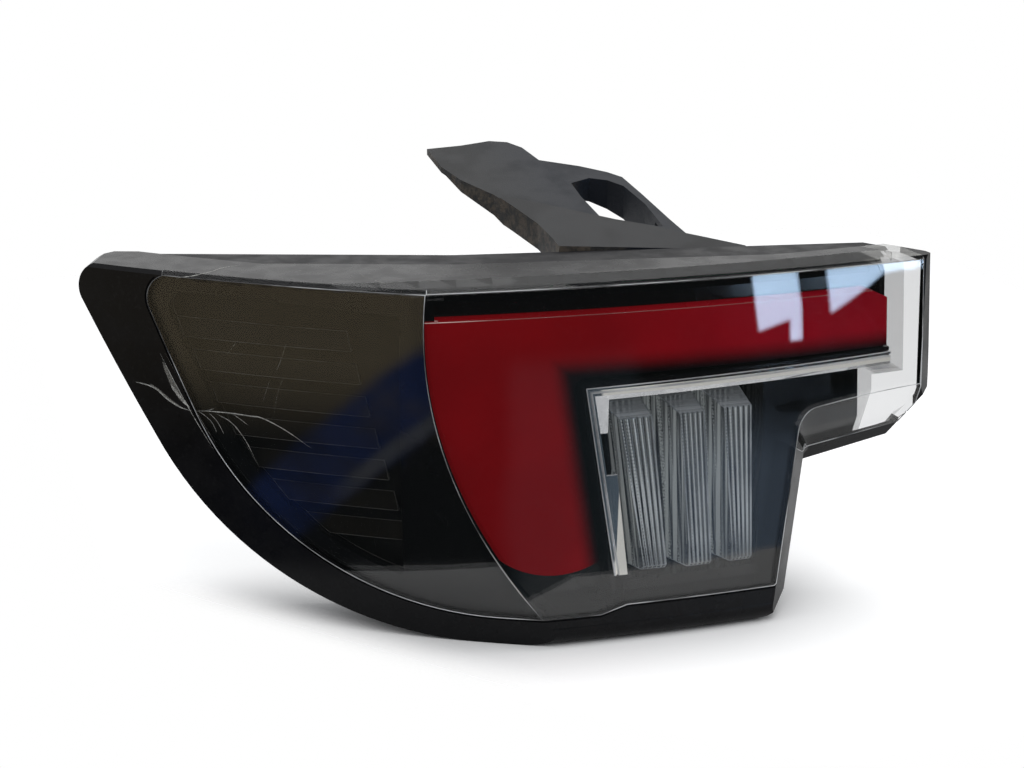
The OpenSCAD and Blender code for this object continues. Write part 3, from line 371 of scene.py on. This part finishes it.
def bar_build(index):
    """Clear bar with painted highlights: bright ribs over dark flutes in front, beaded columns down its
    flank, a lit lid, and a painted glow.
    """
    (top_left, top_right), (foot_left, foot_right) = BAR_SIDES[index]
    top_width = top_right - top_left
    foot_width = foot_right - foot_left

    def build(n, s):
        x, y, z = n.xyz()
        normal = n.normal()
        front = n.ramp(n.size(normal[1]), 0.42, 0.52)
        top = n.ramp(normal[2], 0.4, 0.6)
        down = n.ramp(z, BAR_TOP_Z, BAR_FOOT_Z, 0.0, 1.0, smooth=False)
        left = n.line(down, (foot_left - top_left) * MM, top_left * MM)
        width = n.line(down, (foot_width - top_width) * MM, top_width * MM)
        across = n.math("DIVIDE", n.minus(x, left), width)
        depth = n.minus(y, n.line(z, BAR_LEAN, BAR_FRONT_Y))
        beaded = n.line(n.math("SINE", n.times(z, 2 * math.pi / BEAD_PITCH)), 0.35, 0.65)

        # Front: painted highlights as thin ribs, the left one a row of beads, and painted sheen as a haze
        # low on the right
        wave = n.size(n.math("COSINE", n.times(across, math.pi * BAR_RIBS)))
        roped = n.ramp(across, 0.15, 0.3, 1.0, 0.3)
        ribs = n.times(n.math("POWER", wave, 5.0), n.line(roped, n.minus(beaded, 1.0), 1.0))
        haze = n.times(n.times(n.ramp(across, 0.35, 1.0), n.ramp(down, 0.25, 0.85)), 0.22)
        streak = n.ramp(n.noise(90.0, 3.0, 0.5, n.stretched((1.0, 1.0, 0.12))), 0.3, 0.7, 0.65, 1.1)
        face = n.times(n.line(ribs, 1.7, haze), streak)

        # Flank: painted sheen as smooth grey bands, and painted highlights as bright beaded columns deeper
        # in
        band = n.ramp(n.noise(420.0, 2.0, 0.5, n.stretched((0.0, 1.0, 0.02))), 0.42, 0.6, 0.03, 0.8)
        grain = n.ramp(n.noise(1900.0, 3.0, 0.7, n.stretched((1.0, 1.0, 0.8))), 0.45, 0.62)
        columns = n.math("COSINE", n.times(depth, 2 * math.pi / COLUMN_PITCH))
        columns = n.times(n.ramp(columns, 0.1, 0.7), n.ramp(depth, 6 * MM, 10 * MM))
        flank = n.larger(band, n.times(columns, n.line(beaded, 0.5, grain)))

        bright = n.blend(front, flank, face)
        shade = n.mix(bright, (0.010, 0.016, 0.026), (0.95, 1.0, 1.0))
        # Lid: painted light, lighter near the front and darker further back
        lid = n.mix(n.ramp(depth, 0.0, 24 * MM, 1.0, 0.4), (0.03, 0.035, 0.04), (0.62, 0.66, 0.70))
        bar_painted_light = n.mix(top, shade, lid)
        n.put(s["Base Color"], bar_painted_light)
        # The same painted colour again as a painted glow
        n.put(s["Emission Color"], bar_painted_light)
        s["Emission Strength"].default_value = 0.13
        s["Roughness"].default_value = 0.1
        n.put(s["Alpha"], n.ramp(bright, 0.0, 0.6, 0.55, 0.96, smooth=False))
        n.put(s["Normal"], n.bump(bright, 0.3, 0.6 * MM))
    return build


# The crease between the arm's near plate and its far sheet, seen from above: y at x = 0 and -y over x
CREASE_Y, CREASE_SLOPE = 34.5 * MM, 0.62


def arm_build(n, s):
    """Dusty grey moulding, dirtier down its skirt, with painted shade: a darker and bluer far sheet and a
    dark hole wall.
    """
    x, y, _ = n.xyz()
    upright = n.ramp(n.size(n.normal()[2]), 0.3, 0.6, 1.0, 0.0)
    dirt = n.ramp(n.noise(160.0, 8.0, 0.75), 0.42, 0.62)
    soft = n.ramp(n.noise(28.0, 5.0, 0.6), 0.35, 0.7)
    base = n.mix(soft, (0.026, 0.027, 0.029), (0.055, 0.055, 0.055))
    # Painted shade: the far sheet beyond the crease goes darker and bluer
    beyond = n.ramp(n.line(x, CREASE_SLOPE, n.minus(y, CREASE_Y)), -0.5 * MM, 1 * MM)
    far_sheet = n.times(n.times(beyond, n.ramp(x, -30 * MM, 20 * MM)), 0.55)
    base = n.mix(far_sheet, base, (0.018, 0.022, 0.032))
    skirt = n.times(upright, n.ramp(x, 30 * MM, 20 * MM))
    base = n.mix(n.times(skirt, dirt), base, (0.12, 0.10, 0.08))
    # Painted shade: the upright faces right of the skirt, the hole's wall, go dark
    hole_wall = n.times(upright, n.ramp(x, 20 * MM, 30 * MM))
    base = n.mix(hole_wall, base, (0.012, 0.015, 0.022))
    n.put(s["Base Color"], base)
    n.put(s["Roughness"], n.ramp(soft, 0.0, 1.0, 0.45, 0.7))
    s["Specular IOR Level"].default_value = 0.2
    lumps = n.times(upright, n.noise(420.0, 8.0, 0.8))
    n.put(s["Normal"], n.bump(n.line(n.noise(1600.0), 0.2, lumps), 0.5, 1.2 * MM))


def board_build(n, s):
    """Green circuit board with its tracks."""
    tracks = n.add("ShaderNodeTexBrick")
    n.link(n.stretched((400.0, 400.0, 400.0), (90, 0, 0)), tracks.inputs["Vector"])
    tracks.inputs["Color1"].default_value = (0.015, 0.13, 0.045, 1)
    tracks.inputs["Color2"].default_value = (0.02, 0.17, 0.06, 1)
    tracks.inputs["Mortar"].default_value = (0.05, 0.26, 0.11, 1)
    n.put(s["Base Color"], tracks.outputs["Color"])
    n.put(s["Roughness"], n.ramp(n.noise(200.0), 0.3, 0.7, 0.3, 0.45))


MATS = {
    "lens": material("clear_lens", lens_build),
    "gloss": plastic("gloss_black", (0.006, 0.006, 0.007), 0.12, level=0.22),
    "border": plastic("border_black", (0.007, 0.007, 0.008), 0.28, grain=0.02, level=0.11, dust=0.03),
    "rim": plastic("rim_black", (0.005, 0.005, 0.006), 0.3, level=0.04),
    "housing": plastic("housing_black", (0.014, 0.014, 0.016), 0.55, grain=0.08, level=0.2, dust=0.06),
    "louvre": plastic("louvre_black", (0.009, 0.0085, 0.008), 0.35, level=0.12),
    "seal": plastic("sealant", (0.014, 0.014, 0.014), 0.7, grain=0.08, level=0.2),
    "foam": plastic("foam", (0.03, 0.03, 0.03), 0.95, grain=0.9, grain_scale=1200.0),
    "white": plastic("white_plastic", (0.78, 0.78, 0.76), 0.4),
    "led": plastic("led", (0.75, 0.66, 0.30), 0.35),
    "chip": plastic("chip_black", (0.02, 0.02, 0.022), 0.5, grain=0.2),
    "grey": plastic("connector_grey", (0.035, 0.036, 0.04), 0.45, grain=0.2),
    "red": material("red_plastic", red_build),
    "chrome": material("chrome", chrome_build),
    "arm": material("arm_black", arm_build),
    "board": material("board_green", board_build),
    "steel": metal("plated_steel", (0.60, 0.59, 0.55), 0.28, streaks=0.2),
    "brass": metal("pin_brass", (0.72, 0.58, 0.32), 0.25),
}
give(MATS["lens"], "outer_lens", "wing_divider")
give(MATS["border"], "lens_border")
give(MATS["rim"], "wing_rim")
give(MATS["gloss"], "inner_bezel", "side_bezel")
give(MATS["louvre"], "louvre_panel")
give(MATS["housing"], "rear_housing", "vent_cap")
give(MATS["seal"], "lens_seal", "socket_seal")
give(MATS["foam"], "stud_gaskets")
give(MATS["white"], "diffuser_panel", "reflector_tray")
give(MATS["led"], "tail_leds", "signal_leds")
give(MATS["chip"], "driver_chips", "inner_harness")
give(MATS["grey"], "connector_socket")
give(MATS["red"], "red_light_panel")
give(MATS["chrome"], "chrome_trim")
give(MATS["arm"], "mounting_arm")
give(MATS["board"], "tail_led_board", "signal_led_board", "driver_board")
give(MATS["steel"], "board_screws", "mounting_studs", "arm_screws")
give(MATS["brass"], "contact_pins")
for bar in range(len(BAR_SIDES)):
    give(material("clear_bar_%d" % (bar + 1), bar_build(bar)), "prism_bar_%d" % (bar + 1))


def add_piece(name, mesh, mat):
    """Make a bmesh a piece of the scene that goes with the part's body."""
    data = bpy.data.meshes.new(name)
    mesh.to_mesh(data)
    mesh.free()
    obj = bpy.data.objects.new(name, data)
    bpy.context.collection.objects.link(obj)
    data.materials.append(mat)
    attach(obj, "root")


# Fine rounded edges, as rods where the solids meet at a bare angle; they catch the light and carry painted
# highlights
ROD_SIDES = 8
ROD_TIP = 0.5


def add_rod(mesh, start, end, radius):
    """A thin rod along one edge, with narrower ends that run a little past it."""
    along = (end - start).normalized()
    side = along.orthogonal().normalized()
    other = along.cross(side)
    tip = along * radius * ROD_TIP
    rings = []
    for centre, width in (
        (start - tip, radius * ROD_TIP), (start, radius), (end, radius), (end + tip, radius * ROD_TIP)
    ):
        ring = []
        for k in range(ROD_SIDES):
            t = k * 2 * math.pi / ROD_SIDES
            ring.append(mesh.verts.new(centre + (side * math.cos(t) + other * math.sin(t)) * width))
        rings.append(ring)
    for p, q in zip(rings, rings[1:]):
        for k in range(ROD_SIDES):
            after = (k + 1) % ROD_SIDES
            mesh.faces.new((p[k], p[after], q[after], q[k]))
    mesh.faces.new(rings[0][::-1])
    mesh.faces.new(rings[-1])


def edge_lines(name, node, radius, mat, keep, angle=14):
    """Rods along the edges of a CAD node that are sharper than angle degrees and that keep() accepts.

    keep() gets the normals of the two faces and the edge's middle in mm.
    """
    mesh = bmesh.new()
    mesh.from_mesh(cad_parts[node].data)
    bmesh.ops.remove_doubles(mesh, verts=mesh.verts, dist=0.01 * MM)
    rods = bmesh.new()
    for edge in mesh.edges:
        if len(edge.link_faces) != 2 or edge.calc_face_angle(0) < math.radians(angle):
            continue
        a, b = (face.normal for face in edge.link_faces)
        start, end = (vert.co for vert in edge.verts)
        if keep(a, b, (start + end) / 2 / MM):
            add_rod(rods, start, end, radius)
    mesh.free()
    for face in rods.faces:
        face.smooth = True
    add_piece(name, rods, mat)


def glint_build(low, high, rough, fade_x=None, glow=0.0):
    """Painted highlight along an edge: a bright colour with a glow of strength glow, uneven along it;
    right of fade_x, where given, it dies out.
    """
    def build(n, s):
        uneven = n.ramp(n.noise(22.0, 3.0), 0.38, 0.62)
        if fade_x is not None:
            fade = n.ramp(n.xyz()[0], fade_x, fade_x + 30 * MM, 1.0, 0.12)
            uneven = n.times(n.line(uneven, 0.5, 0.5), fade)
        shade = n.mix(uneven, low, high)
        n.put(s["Base Color"], shade)
        n.put(s["Emission Color"], shade)
        s["Emission Strength"].default_value = glow
        s["Roughness"].default_value = rough
        n.put(s["Normal"], n.bump(n.noise(900.0, 2.0), 0.1, GRAIN_DEPTH))
    return build


def lens_edge(a, b, p):
    """The crease, the top line, the wing's lower line and the groove round the lens."""
    return max(a.y, b.y) < 0.35 and min(a.y, b.y) < -0.15 and max(a.z, b.z) < 0.95 and p.z < 59.5


def louvre_edge(a, b, p):
    """Every edge of the steps that faces the window."""
    return min(a.y, b.y) < -0.2


def red_edge(a, b, p):
    """Front edges along the top of the red L."""
    return p.z > 42 and min(a.y, b.y) < -0.5


def chrome_edge(a, b, p):
    """Edges between the front and a side that faces left or up."""
    return min(a.y, b.y) < -0.7 and (min(a.x, b.x) < -0.8 or max(a.z, b.z) > 0.8)


def bar_edge(a, b, p):
    """Edges of a bar's front and of its lid."""
    return min(a.y, b.y) < -0.3 or max(a.z, b.z) > 0.7


# Painted highlights for the edge rods, most of them with a painted glow
LENS_EDGE = material("lens_edge", glint_build((0.04, 0.04, 0.04), (0.62, 0.63, 0.64), 0.15, glow=0.12))
LOUVRE_EDGE = material("louvre_edge", glint_build((0.02, 0.019, 0.017), (0.14, 0.135, 0.125), 0.3))
RED_EDGE = material(
    "red_edge", glint_build((0.20, 0.03, 0.03), (0.95, 0.75, 0.70), 0.2, fade_x=-85 * MM, glow=0.4)
)
CHROME_EDGE = material("chrome_edge", glint_build((0.55, 0.56, 0.58), (0.92, 0.93, 0.95), 0.15, glow=0.15))
BAR_EDGE = material("bar_edge", glint_build((0.30, 0.33, 0.36), (0.90, 0.95, 1.0), 0.1, glow=0.1))
edge_lines("lens_edges", "outer_lens", 0.2 * MM, LENS_EDGE, lens_edge)
edge_lines("louvre_edges", "louvre_panel", 0.16 * MM, LOUVRE_EDGE, louvre_edge)
edge_lines("red_edges", "red_light_panel", 0.2 * MM, RED_EDGE, red_edge)
edge_lines("chrome_edges", "chrome_trim", 0.3 * MM, CHROME_EDGE, chrome_edge, angle=40)
for bar in range(len(BAR_SIDES)):
    solid = "prism_bar_%d" % (bar + 1)
    edge_lines("bar_%d_edges" % (bar + 1), solid, 0.22 * MM, BAR_EDGE, bar_edge, angle=30)


# Scratches, hairlines and chips that lie on the skin
def skin_tree():
    """BVH of the outer skin, to find where a line of sight meets it."""
    verts, faces = [], []
    for name in ("outer_lens", "lens_border", "wing_rim", "rear_housing"):
        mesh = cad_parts[name].data
        offset = len(verts)
        verts += [v.co.copy() for v in mesh.vertices]
        faces += [[offset + i for i in p.vertices] for p in mesh.polygons]
    return BVHTree.FromPolygons(verts, faces)


SKIN = skin_tree()


def on_skin(px, py):
    """Point and normal of the skin at a place in the photograph's frame."""
    local = Vector(((px - IMAGE_W / 2) / FOCAL_PX, -(py - IMAGE_H / 2) / FOCAL_PX, -1.0))
    ray = (camera.matrix_world.to_3x3() @ local).normalized()
    place, normal, _, _ = SKIN.ray_cast(camera.matrix_world.translation, ray)
    if place is None:
        return None
    if normal.dot(ray) > 0:
        normal = -normal
    return place, normal


PATH_STEP_PX = 4.0


def smooth_path(points):
    """Catmull-Rom points through the given ones, one every few pixels."""
    out = []
    pts = [Vector(p) for p in points]
    pts = [2 * pts[0] - pts[1]] + pts + [2 * pts[-1] - pts[-2]]
    for a, b, c, d in zip(pts, pts[1:], pts[2:], pts[3:]):
        count = max(1, int((c - b).length / PATH_STEP_PX))
        for k in range(count):
            t = k / count
            out.append(0.5 * (2 * b + (c - a) * t + (2 * a - 5 * b + 4 * c - d) * t * t
                              + (3 * b - a - 3 * c + d) * t ** 3))
    out.append(pts[-2])
    return out


SCRATCH_LIFT = 0.06 * MM
# Two neighbouring points further apart than this lie on different surfaces
SCRATCH_GAP = 20 * MM


def scratch(name, points, width, mat):
    """A ribbon that follows the skin, with tapered ends and an uneven width in metres."""
    mesh = bmesh.new()
    hits = [h for h in (on_skin(p.x, p.y) for p in smooth_path(points)) if h]
    rows = []
    for i, (place, normal) in enumerate(hits):
        ahead = hits[min(i + 1, len(hits) - 1)][0] - hits[max(i - 1, 0)][0]
        side = normal.cross(ahead).normalized()
        f = i / (len(hits) - 1)
        half = 0.5 * width * max(0.12, min(1.0, 6 * f, 4 * (1 - f)))
        half *= 0.75 + 0.25 * math.sin(i * 2.3) * math.sin(i * 0.9 + 1)
        base = place + normal * SCRATCH_LIFT
        rows.append([mesh.verts.new(base - side * half), mesh.verts.new(base + side * half)])
    for a, b in zip(rows, rows[1:]):
        if (b[0].co - a[0].co).length < SCRATCH_GAP:
            mesh.faces.new((a[0], a[1], b[1], b[0]))
    add_piece(name, mesh, mat)


def worn_build(color, alpha):
    """Scraped plastic that breaks up along the scratch."""
    def build(n, s):
        n.put(s["Base Color"], n.mix(n.noise(700.0, 3.0), darker(color, 0.8), color))
        s["Roughness"].default_value = 0.6
        n.put(s["Alpha"], n.ramp(n.noise(1500.0, 4.0, 0.7), 0.38, 0.6, 0.35 * alpha, alpha))
    return build


WHITE_WEAR = material("worn_white", worn_build((0.80, 0.79, 0.74), 0.95))
FAINT_WEAR = material("worn_faint", worn_build((0.55, 0.53, 0.48), 0.5))

# Name, course in pixels of the photograph, width in mm, material
SCRATCHES = [
    ("scratch_main", [(195, 411), (205, 411), (230, 413), (250, 416), (262, 418), (285, 430), (311, 448)],
     0.55, WHITE_WEAR),
    ("scratch_b1", [(198, 411), (207, 417), (213, 424), (217, 433)], 0.28, WHITE_WEAR),
    ("scratch_b2", [(209, 413), (217, 421), (224, 434)], 0.28, WHITE_WEAR),
    ("scratch_b3", [(217, 414), (232, 423), (246, 441), (256, 461)], 0.34, WHITE_WEAR),
    ("scratch_b4", [(233, 414), (240, 419), (248, 425)], 0.28, WHITE_WEAR),
    ("scratch_twig", [(204, 411), (210, 410), (215, 408)], 0.2, WHITE_WEAR),
    ("groove_wear_1", [(160, 353), (172, 377), (186, 403), (198, 424), (214, 450)], 0.42, WHITE_WEAR),
    ("groove_wear_2", [(165, 353), (178, 377), (191, 402), (203, 423), (218, 447)], 0.26, FAINT_WEAR),
    ("scuff_1", [(136, 382), (148, 385), (158, 390), (166, 398), (180, 407), (192, 411)], 0.9, WHITE_WEAR),
    ("scuff_2", [(150, 384), (160, 391), (170, 400), (183, 408)], 1.5, FAINT_WEAR),
    ("scuff_3", [(163, 362), (170, 378), (178, 394), (186, 405)], 3.2, FAINT_WEAR),
    ("scuff_4", [(171, 385), (181, 398), (190, 408)], 2.0, WHITE_WEAR),
    ("top_hair_1", [(176, 278), (192, 276), (210, 272), (222, 268), (240, 265)], 0.5, WHITE_WEAR),
    ("top_hair_2", [(240, 265), (290, 264), (345, 263), (392, 263)], 0.22, FAINT_WEAR),
    ("top_chip_1", [(296, 269), (303, 272), (309, 270)], 0.7, FAINT_WEAR),
    ("top_chip_2", [(360, 274), (370, 279), (378, 276)], 0.7, FAINT_WEAR),
    ("top_chip_3", [(374, 280), (386, 284), (396, 281)], 0.6, FAINT_WEAR),
    ("faint_1", [(238, 340), (232, 348), (226, 356)], 0.16, FAINT_WEAR),
    ("faint_2", [(286, 344), (281, 360), (276, 372)], 0.2, FAINT_WEAR),
    ("faint_3", [(285, 375), (278, 392), (274, 415)], 0.16, FAINT_WEAR),
    ("faint_4", [(270, 380), (266, 392), (263, 402)], 0.2, FAINT_WEAR),
]
for label, pixels, width_mm, wear in SCRATCHES:
    scratch(label, pixels, width_mm * MM, wear)


# Studio: the room that the lamp mirrors, painted by direction
DIM = (0.02, 0.021, 0.023)
WARM_WALL = (0.56, 0.46, 0.295)
DARK_FLOOR = (0.02, 0.022, 0.025)
CEILING = (0.30, 0.315, 0.34)
BLUE_SHAPE = (0.045, 0.095, 0.36)
PALE_STREAK = (0.36, 0.38, 0.42)
GREY_WALL = (0.09, 0.12, 0.145)
LOW_HAZE = (0.50, 0.66, 0.90)
DAYLIGHT = (8.4, 11.4, 15.3)
FILL = (0.32, 0.33, 0.345)

# Each window's sill: a point on it and its slope. Both share the slant of their sides.
SILL_1_U, SILL_1_V, SILL_1_SLOPE = 0.551, -0.095, 0.07
SILL_2_U, SILL_2_V, SILL_2_SLOPE = 0.722, -0.090, 0.11
SILL_2_TOP = -0.073
SIDE_U, SIDE_V, SIDE_SLANT = 0.536, -0.06, -0.43
PANE_1_WIDTH = 0.103
PANE_2_START, PANE_2_END = 0.175, 0.5


def window_panes(n, u, v):
    """Two tall windows with slanting sills and sides, and a strip of light below the first sill."""
    beside = n.minus(u, n.line(n.minus(v, SIDE_V), SIDE_SLANT, SIDE_U))
    sill_1 = n.line(u, SILL_1_SLOPE, SILL_1_V - SILL_1_U * SILL_1_SLOPE)
    pane_1 = n.times(
        n.ramp(n.minus(v, sill_1), -0.002, 0.002), n.between(beside, 0.0, PANE_1_WIDTH, 0.004)
    )
    strip = n.times(n.between(u, 0.622, 0.650, 0.003), n.between(v, -0.102, -0.08, 0.002))
    sill_2 = n.smaller(n.line(u, SILL_2_SLOPE, SILL_2_V - SILL_2_U * SILL_2_SLOPE), SILL_2_TOP)
    pane_2 = n.times(
        n.ramp(n.minus(v, sill_2), -0.002, 0.002), n.between(beside, PANE_2_START, PANE_2_END, 0.004)
    )
    panes = n.larger(n.larger(pane_1, strip), pane_2)
    return n.times(panes, n.ramp(v, 0.03, 0.0))


def painted_room(n, place):
    """What a mirrored ray sees: white behind the object, a dim room behind the camera.

    u is x over -y, v the rise over the level length, and turn the angle to the right of -y.
    """
    x, y, z = n.split(place)
    ahead = n.times(y, -1.0)
    u = n.math("DIVIDE", x, n.larger(ahead, 0.001))
    level = n.math("SQRT", n.line(x, x, n.times(y, y)))
    v = n.math("DIVIDE", z, n.larger(level, 0.001))
    turn = n.math("ARCTAN2", x, ahead)

    room = n.mix(n.ramp(x, -0.35, -0.75), DIM, WARM_WALL)
    room = n.mix(n.ramp(v, -0.16, -0.40), room, DARK_FLOOR)
    room = n.mix(n.ramp(v, 0.15, 0.8), room, CEILING)

    # Seen in the side window: a dark blue shape that rises to the right, and a pale streak under it
    across = n.line(turn, -1.054, n.minus(v, 0.614))
    uneven = n.ramp(n.noise(7.0, 3.0, 0.5, place), 0.3, 0.6, 0.35, 1.0)
    shape = n.times(n.between(across, -0.11, 0.12, 0.03), n.between(turn, -1.22, -0.76, 0.05))
    room = n.mix(n.times(shape, uneven), room, BLUE_SHAPE)
    streak = n.times(n.between(across, -0.11, -0.06, 0.02), n.between(turn, -0.99, -0.72, 0.06))
    room = n.mix(n.times(streak, 0.8), room, PALE_STREAK)

    # Low in front: a grey wall, and a bluish haze right of it
    wall = n.times(n.between(u, 0.1, 0.31, 0.02), n.between(v, -0.26, -0.1, 0.01))
    room = n.mix(wall, room, GREY_WALL)
    haze = n.times(n.ramp(u, 0.24, 0.46), n.ramp(v, -0.125, -0.17))
    room = n.mix(haze, room, LOW_HAZE)

    panes = n.times(window_panes(n, u, v), n.ramp(y, 0.0, -0.1))
    room = n.mix(panes, room, DAYLIGHT)
    return n.mix(n.ramp(y, -0.25, 0.35), room, WHITE)


def make_world():
    """White to the camera, the painted room to mirrored rays, and an even fill to the rest."""
    world = bpy.data.worlds.new("studio")
    bpy.context.scene.world = world
    world.use_nodes = True
    n = Nodes(world.node_tree)
    seen = n.add("ShaderNodeLightPath").outputs
    mirror = painted_room(n, n.add("ShaderNodeTexCoord").outputs["Generated"])
    looked = n.larger(seen["Is Glossy Ray"], seen["Is Transmission Ray"])
    color = n.mix(looked, FILL, mirror)
    color = n.mix(seen["Is Camera Ray"], color, WHITE)
    back = n.add("ShaderNodeBackground")
    n.link(color, back.inputs["Color"])
    out = n.add("ShaderNodeOutputWorld")
    n.link(back.outputs[0], out.inputs["Surface"])


FLOOR_Z = CAD_LOW.z - 0.2 * MM
# Anticlockwise seen from above, with the near left corner cut off
FLOOR_CORNERS = [(-0.24, 0.0), (-0.08, -0.15), (0.0, -0.25), (0.6, -0.25), (0.6, 0.8), (-0.24, 0.8)]
FLOOR_COLOR = (0.86, 0.86, 0.86, 1)
FLOOR_GLOW = 0.52
SHADOW_REACH = 0.055
RUN_OUT_START, RUN_OUT_END = 0.045, 0.005


def inner_sides(corners):
    """For each side of an anticlockwise polygon: its inward normal and the origin's distance inside."""
    sides = []
    for (ax, ay), (bx, by) in zip(corners, corners[1:] + corners[:1]):
        length = math.hypot(bx - ax, by - ay)
        nx, ny = (ay - by) / length, (bx - ax) / length
        sides.append((nx, ny, -(ax * nx + ay * ny)))
    return sides


def floor_build(n):
    """White table that glows a little, with a painted contact shadow where occlusion dims its glow close
    under the lamp, and ends unseen.
    """
    seen = n.add("ShaderNodeLightPath").outputs
    shade = n.add("ShaderNodeBsdfDiffuse")
    shade.inputs["Color"].default_value = FLOOR_COLOR
    glow = n.add("ShaderNodeEmission")
    glow.inputs["Color"].default_value = WHITE + (1,)
    # Painted shadow: ambient occlusion dims the glow close under the lamp
    near = n.add("ShaderNodeAmbientOcclusion", samples=8)
    near.inputs["Distance"].default_value = SHADOW_REACH
    open_to = n.math("POWER", near.outputs["AO"], 1.6)
    mirrored = n.larger(seen["Is Glossy Ray"], seen["Is Transmission Ray"])
    looked = n.larger(seen["Is Camera Ray"], mirrored)
    n.put(glow.inputs["Strength"], n.times(n.times(looked, FLOOR_GLOW), open_to))
    both = n.add("ShaderNodeAddShader")
    n.link(shade.outputs[0], both.inputs[0])
    n.link(glow.outputs[0], both.inputs[1])

    # Seen by the camera, the floor runs out into the white around it before its edge
    x, y, _ = n.xyz()
    distances = [n.line(x, nx, n.line(y, ny, inside)) for nx, ny, inside in inner_sides(FLOOR_CORNERS)]
    to_edge = distances[0]
    for distance in distances[1:]:
        to_edge = n.smaller(to_edge, distance)
    clear = n.add("ShaderNodeBsdfTransparent")
    run_out = n.add("ShaderNodeMixShader")
    gone = n.ramp(to_edge, RUN_OUT_START, RUN_OUT_END)
    n.put(run_out.inputs[0], n.times(seen["Is Camera Ray"], gone))
    n.link(both.outputs[0], run_out.inputs[1])
    n.link(clear.outputs[0], run_out.inputs[2])
    out = n.add("ShaderNodeOutputMaterial")
    n.link(run_out.outputs[0], out.inputs["Surface"])


def make_floor():
    data = bpy.data.meshes.new("floor")
    corners = [(x, y, FLOOR_Z) for x, y in FLOOR_CORNERS]
    data.from_pydata(corners, [], [tuple(range(len(corners)))])
    obj = bpy.data.objects.new("floor", data)
    bpy.context.collection.objects.link(obj)
    mat = bpy.data.materials.new("floor")
    mat.use_nodes = True
    floor_build(Nodes(mat.node_tree))
    data.materials.append(mat)


LAMP_TARGET = Vector((0, -0.03, 0))


def lamp(name, azimuth, elevation, distance, size, power):
    """A square area light that looks at the part from that direction."""
    data = bpy.data.lights.new(name, "AREA")
    data.shape = "RECTANGLE"
    data.size = size
    data.size_y = size
    data.energy = power
    obj = bpy.data.objects.new(name, data)
    bpy.context.collection.objects.link(obj)
    aim(obj, LAMP_TARGET + direction(azimuth, elevation) * distance, LAMP_TARGET)


make_world()
make_floor()
lamp("key", azimuth=-12, elevation=58, distance=1.7, size=1.2, power=8)
lamp("top", azimuth=165, elevation=76, distance=1.6, size=1.0, power=9)
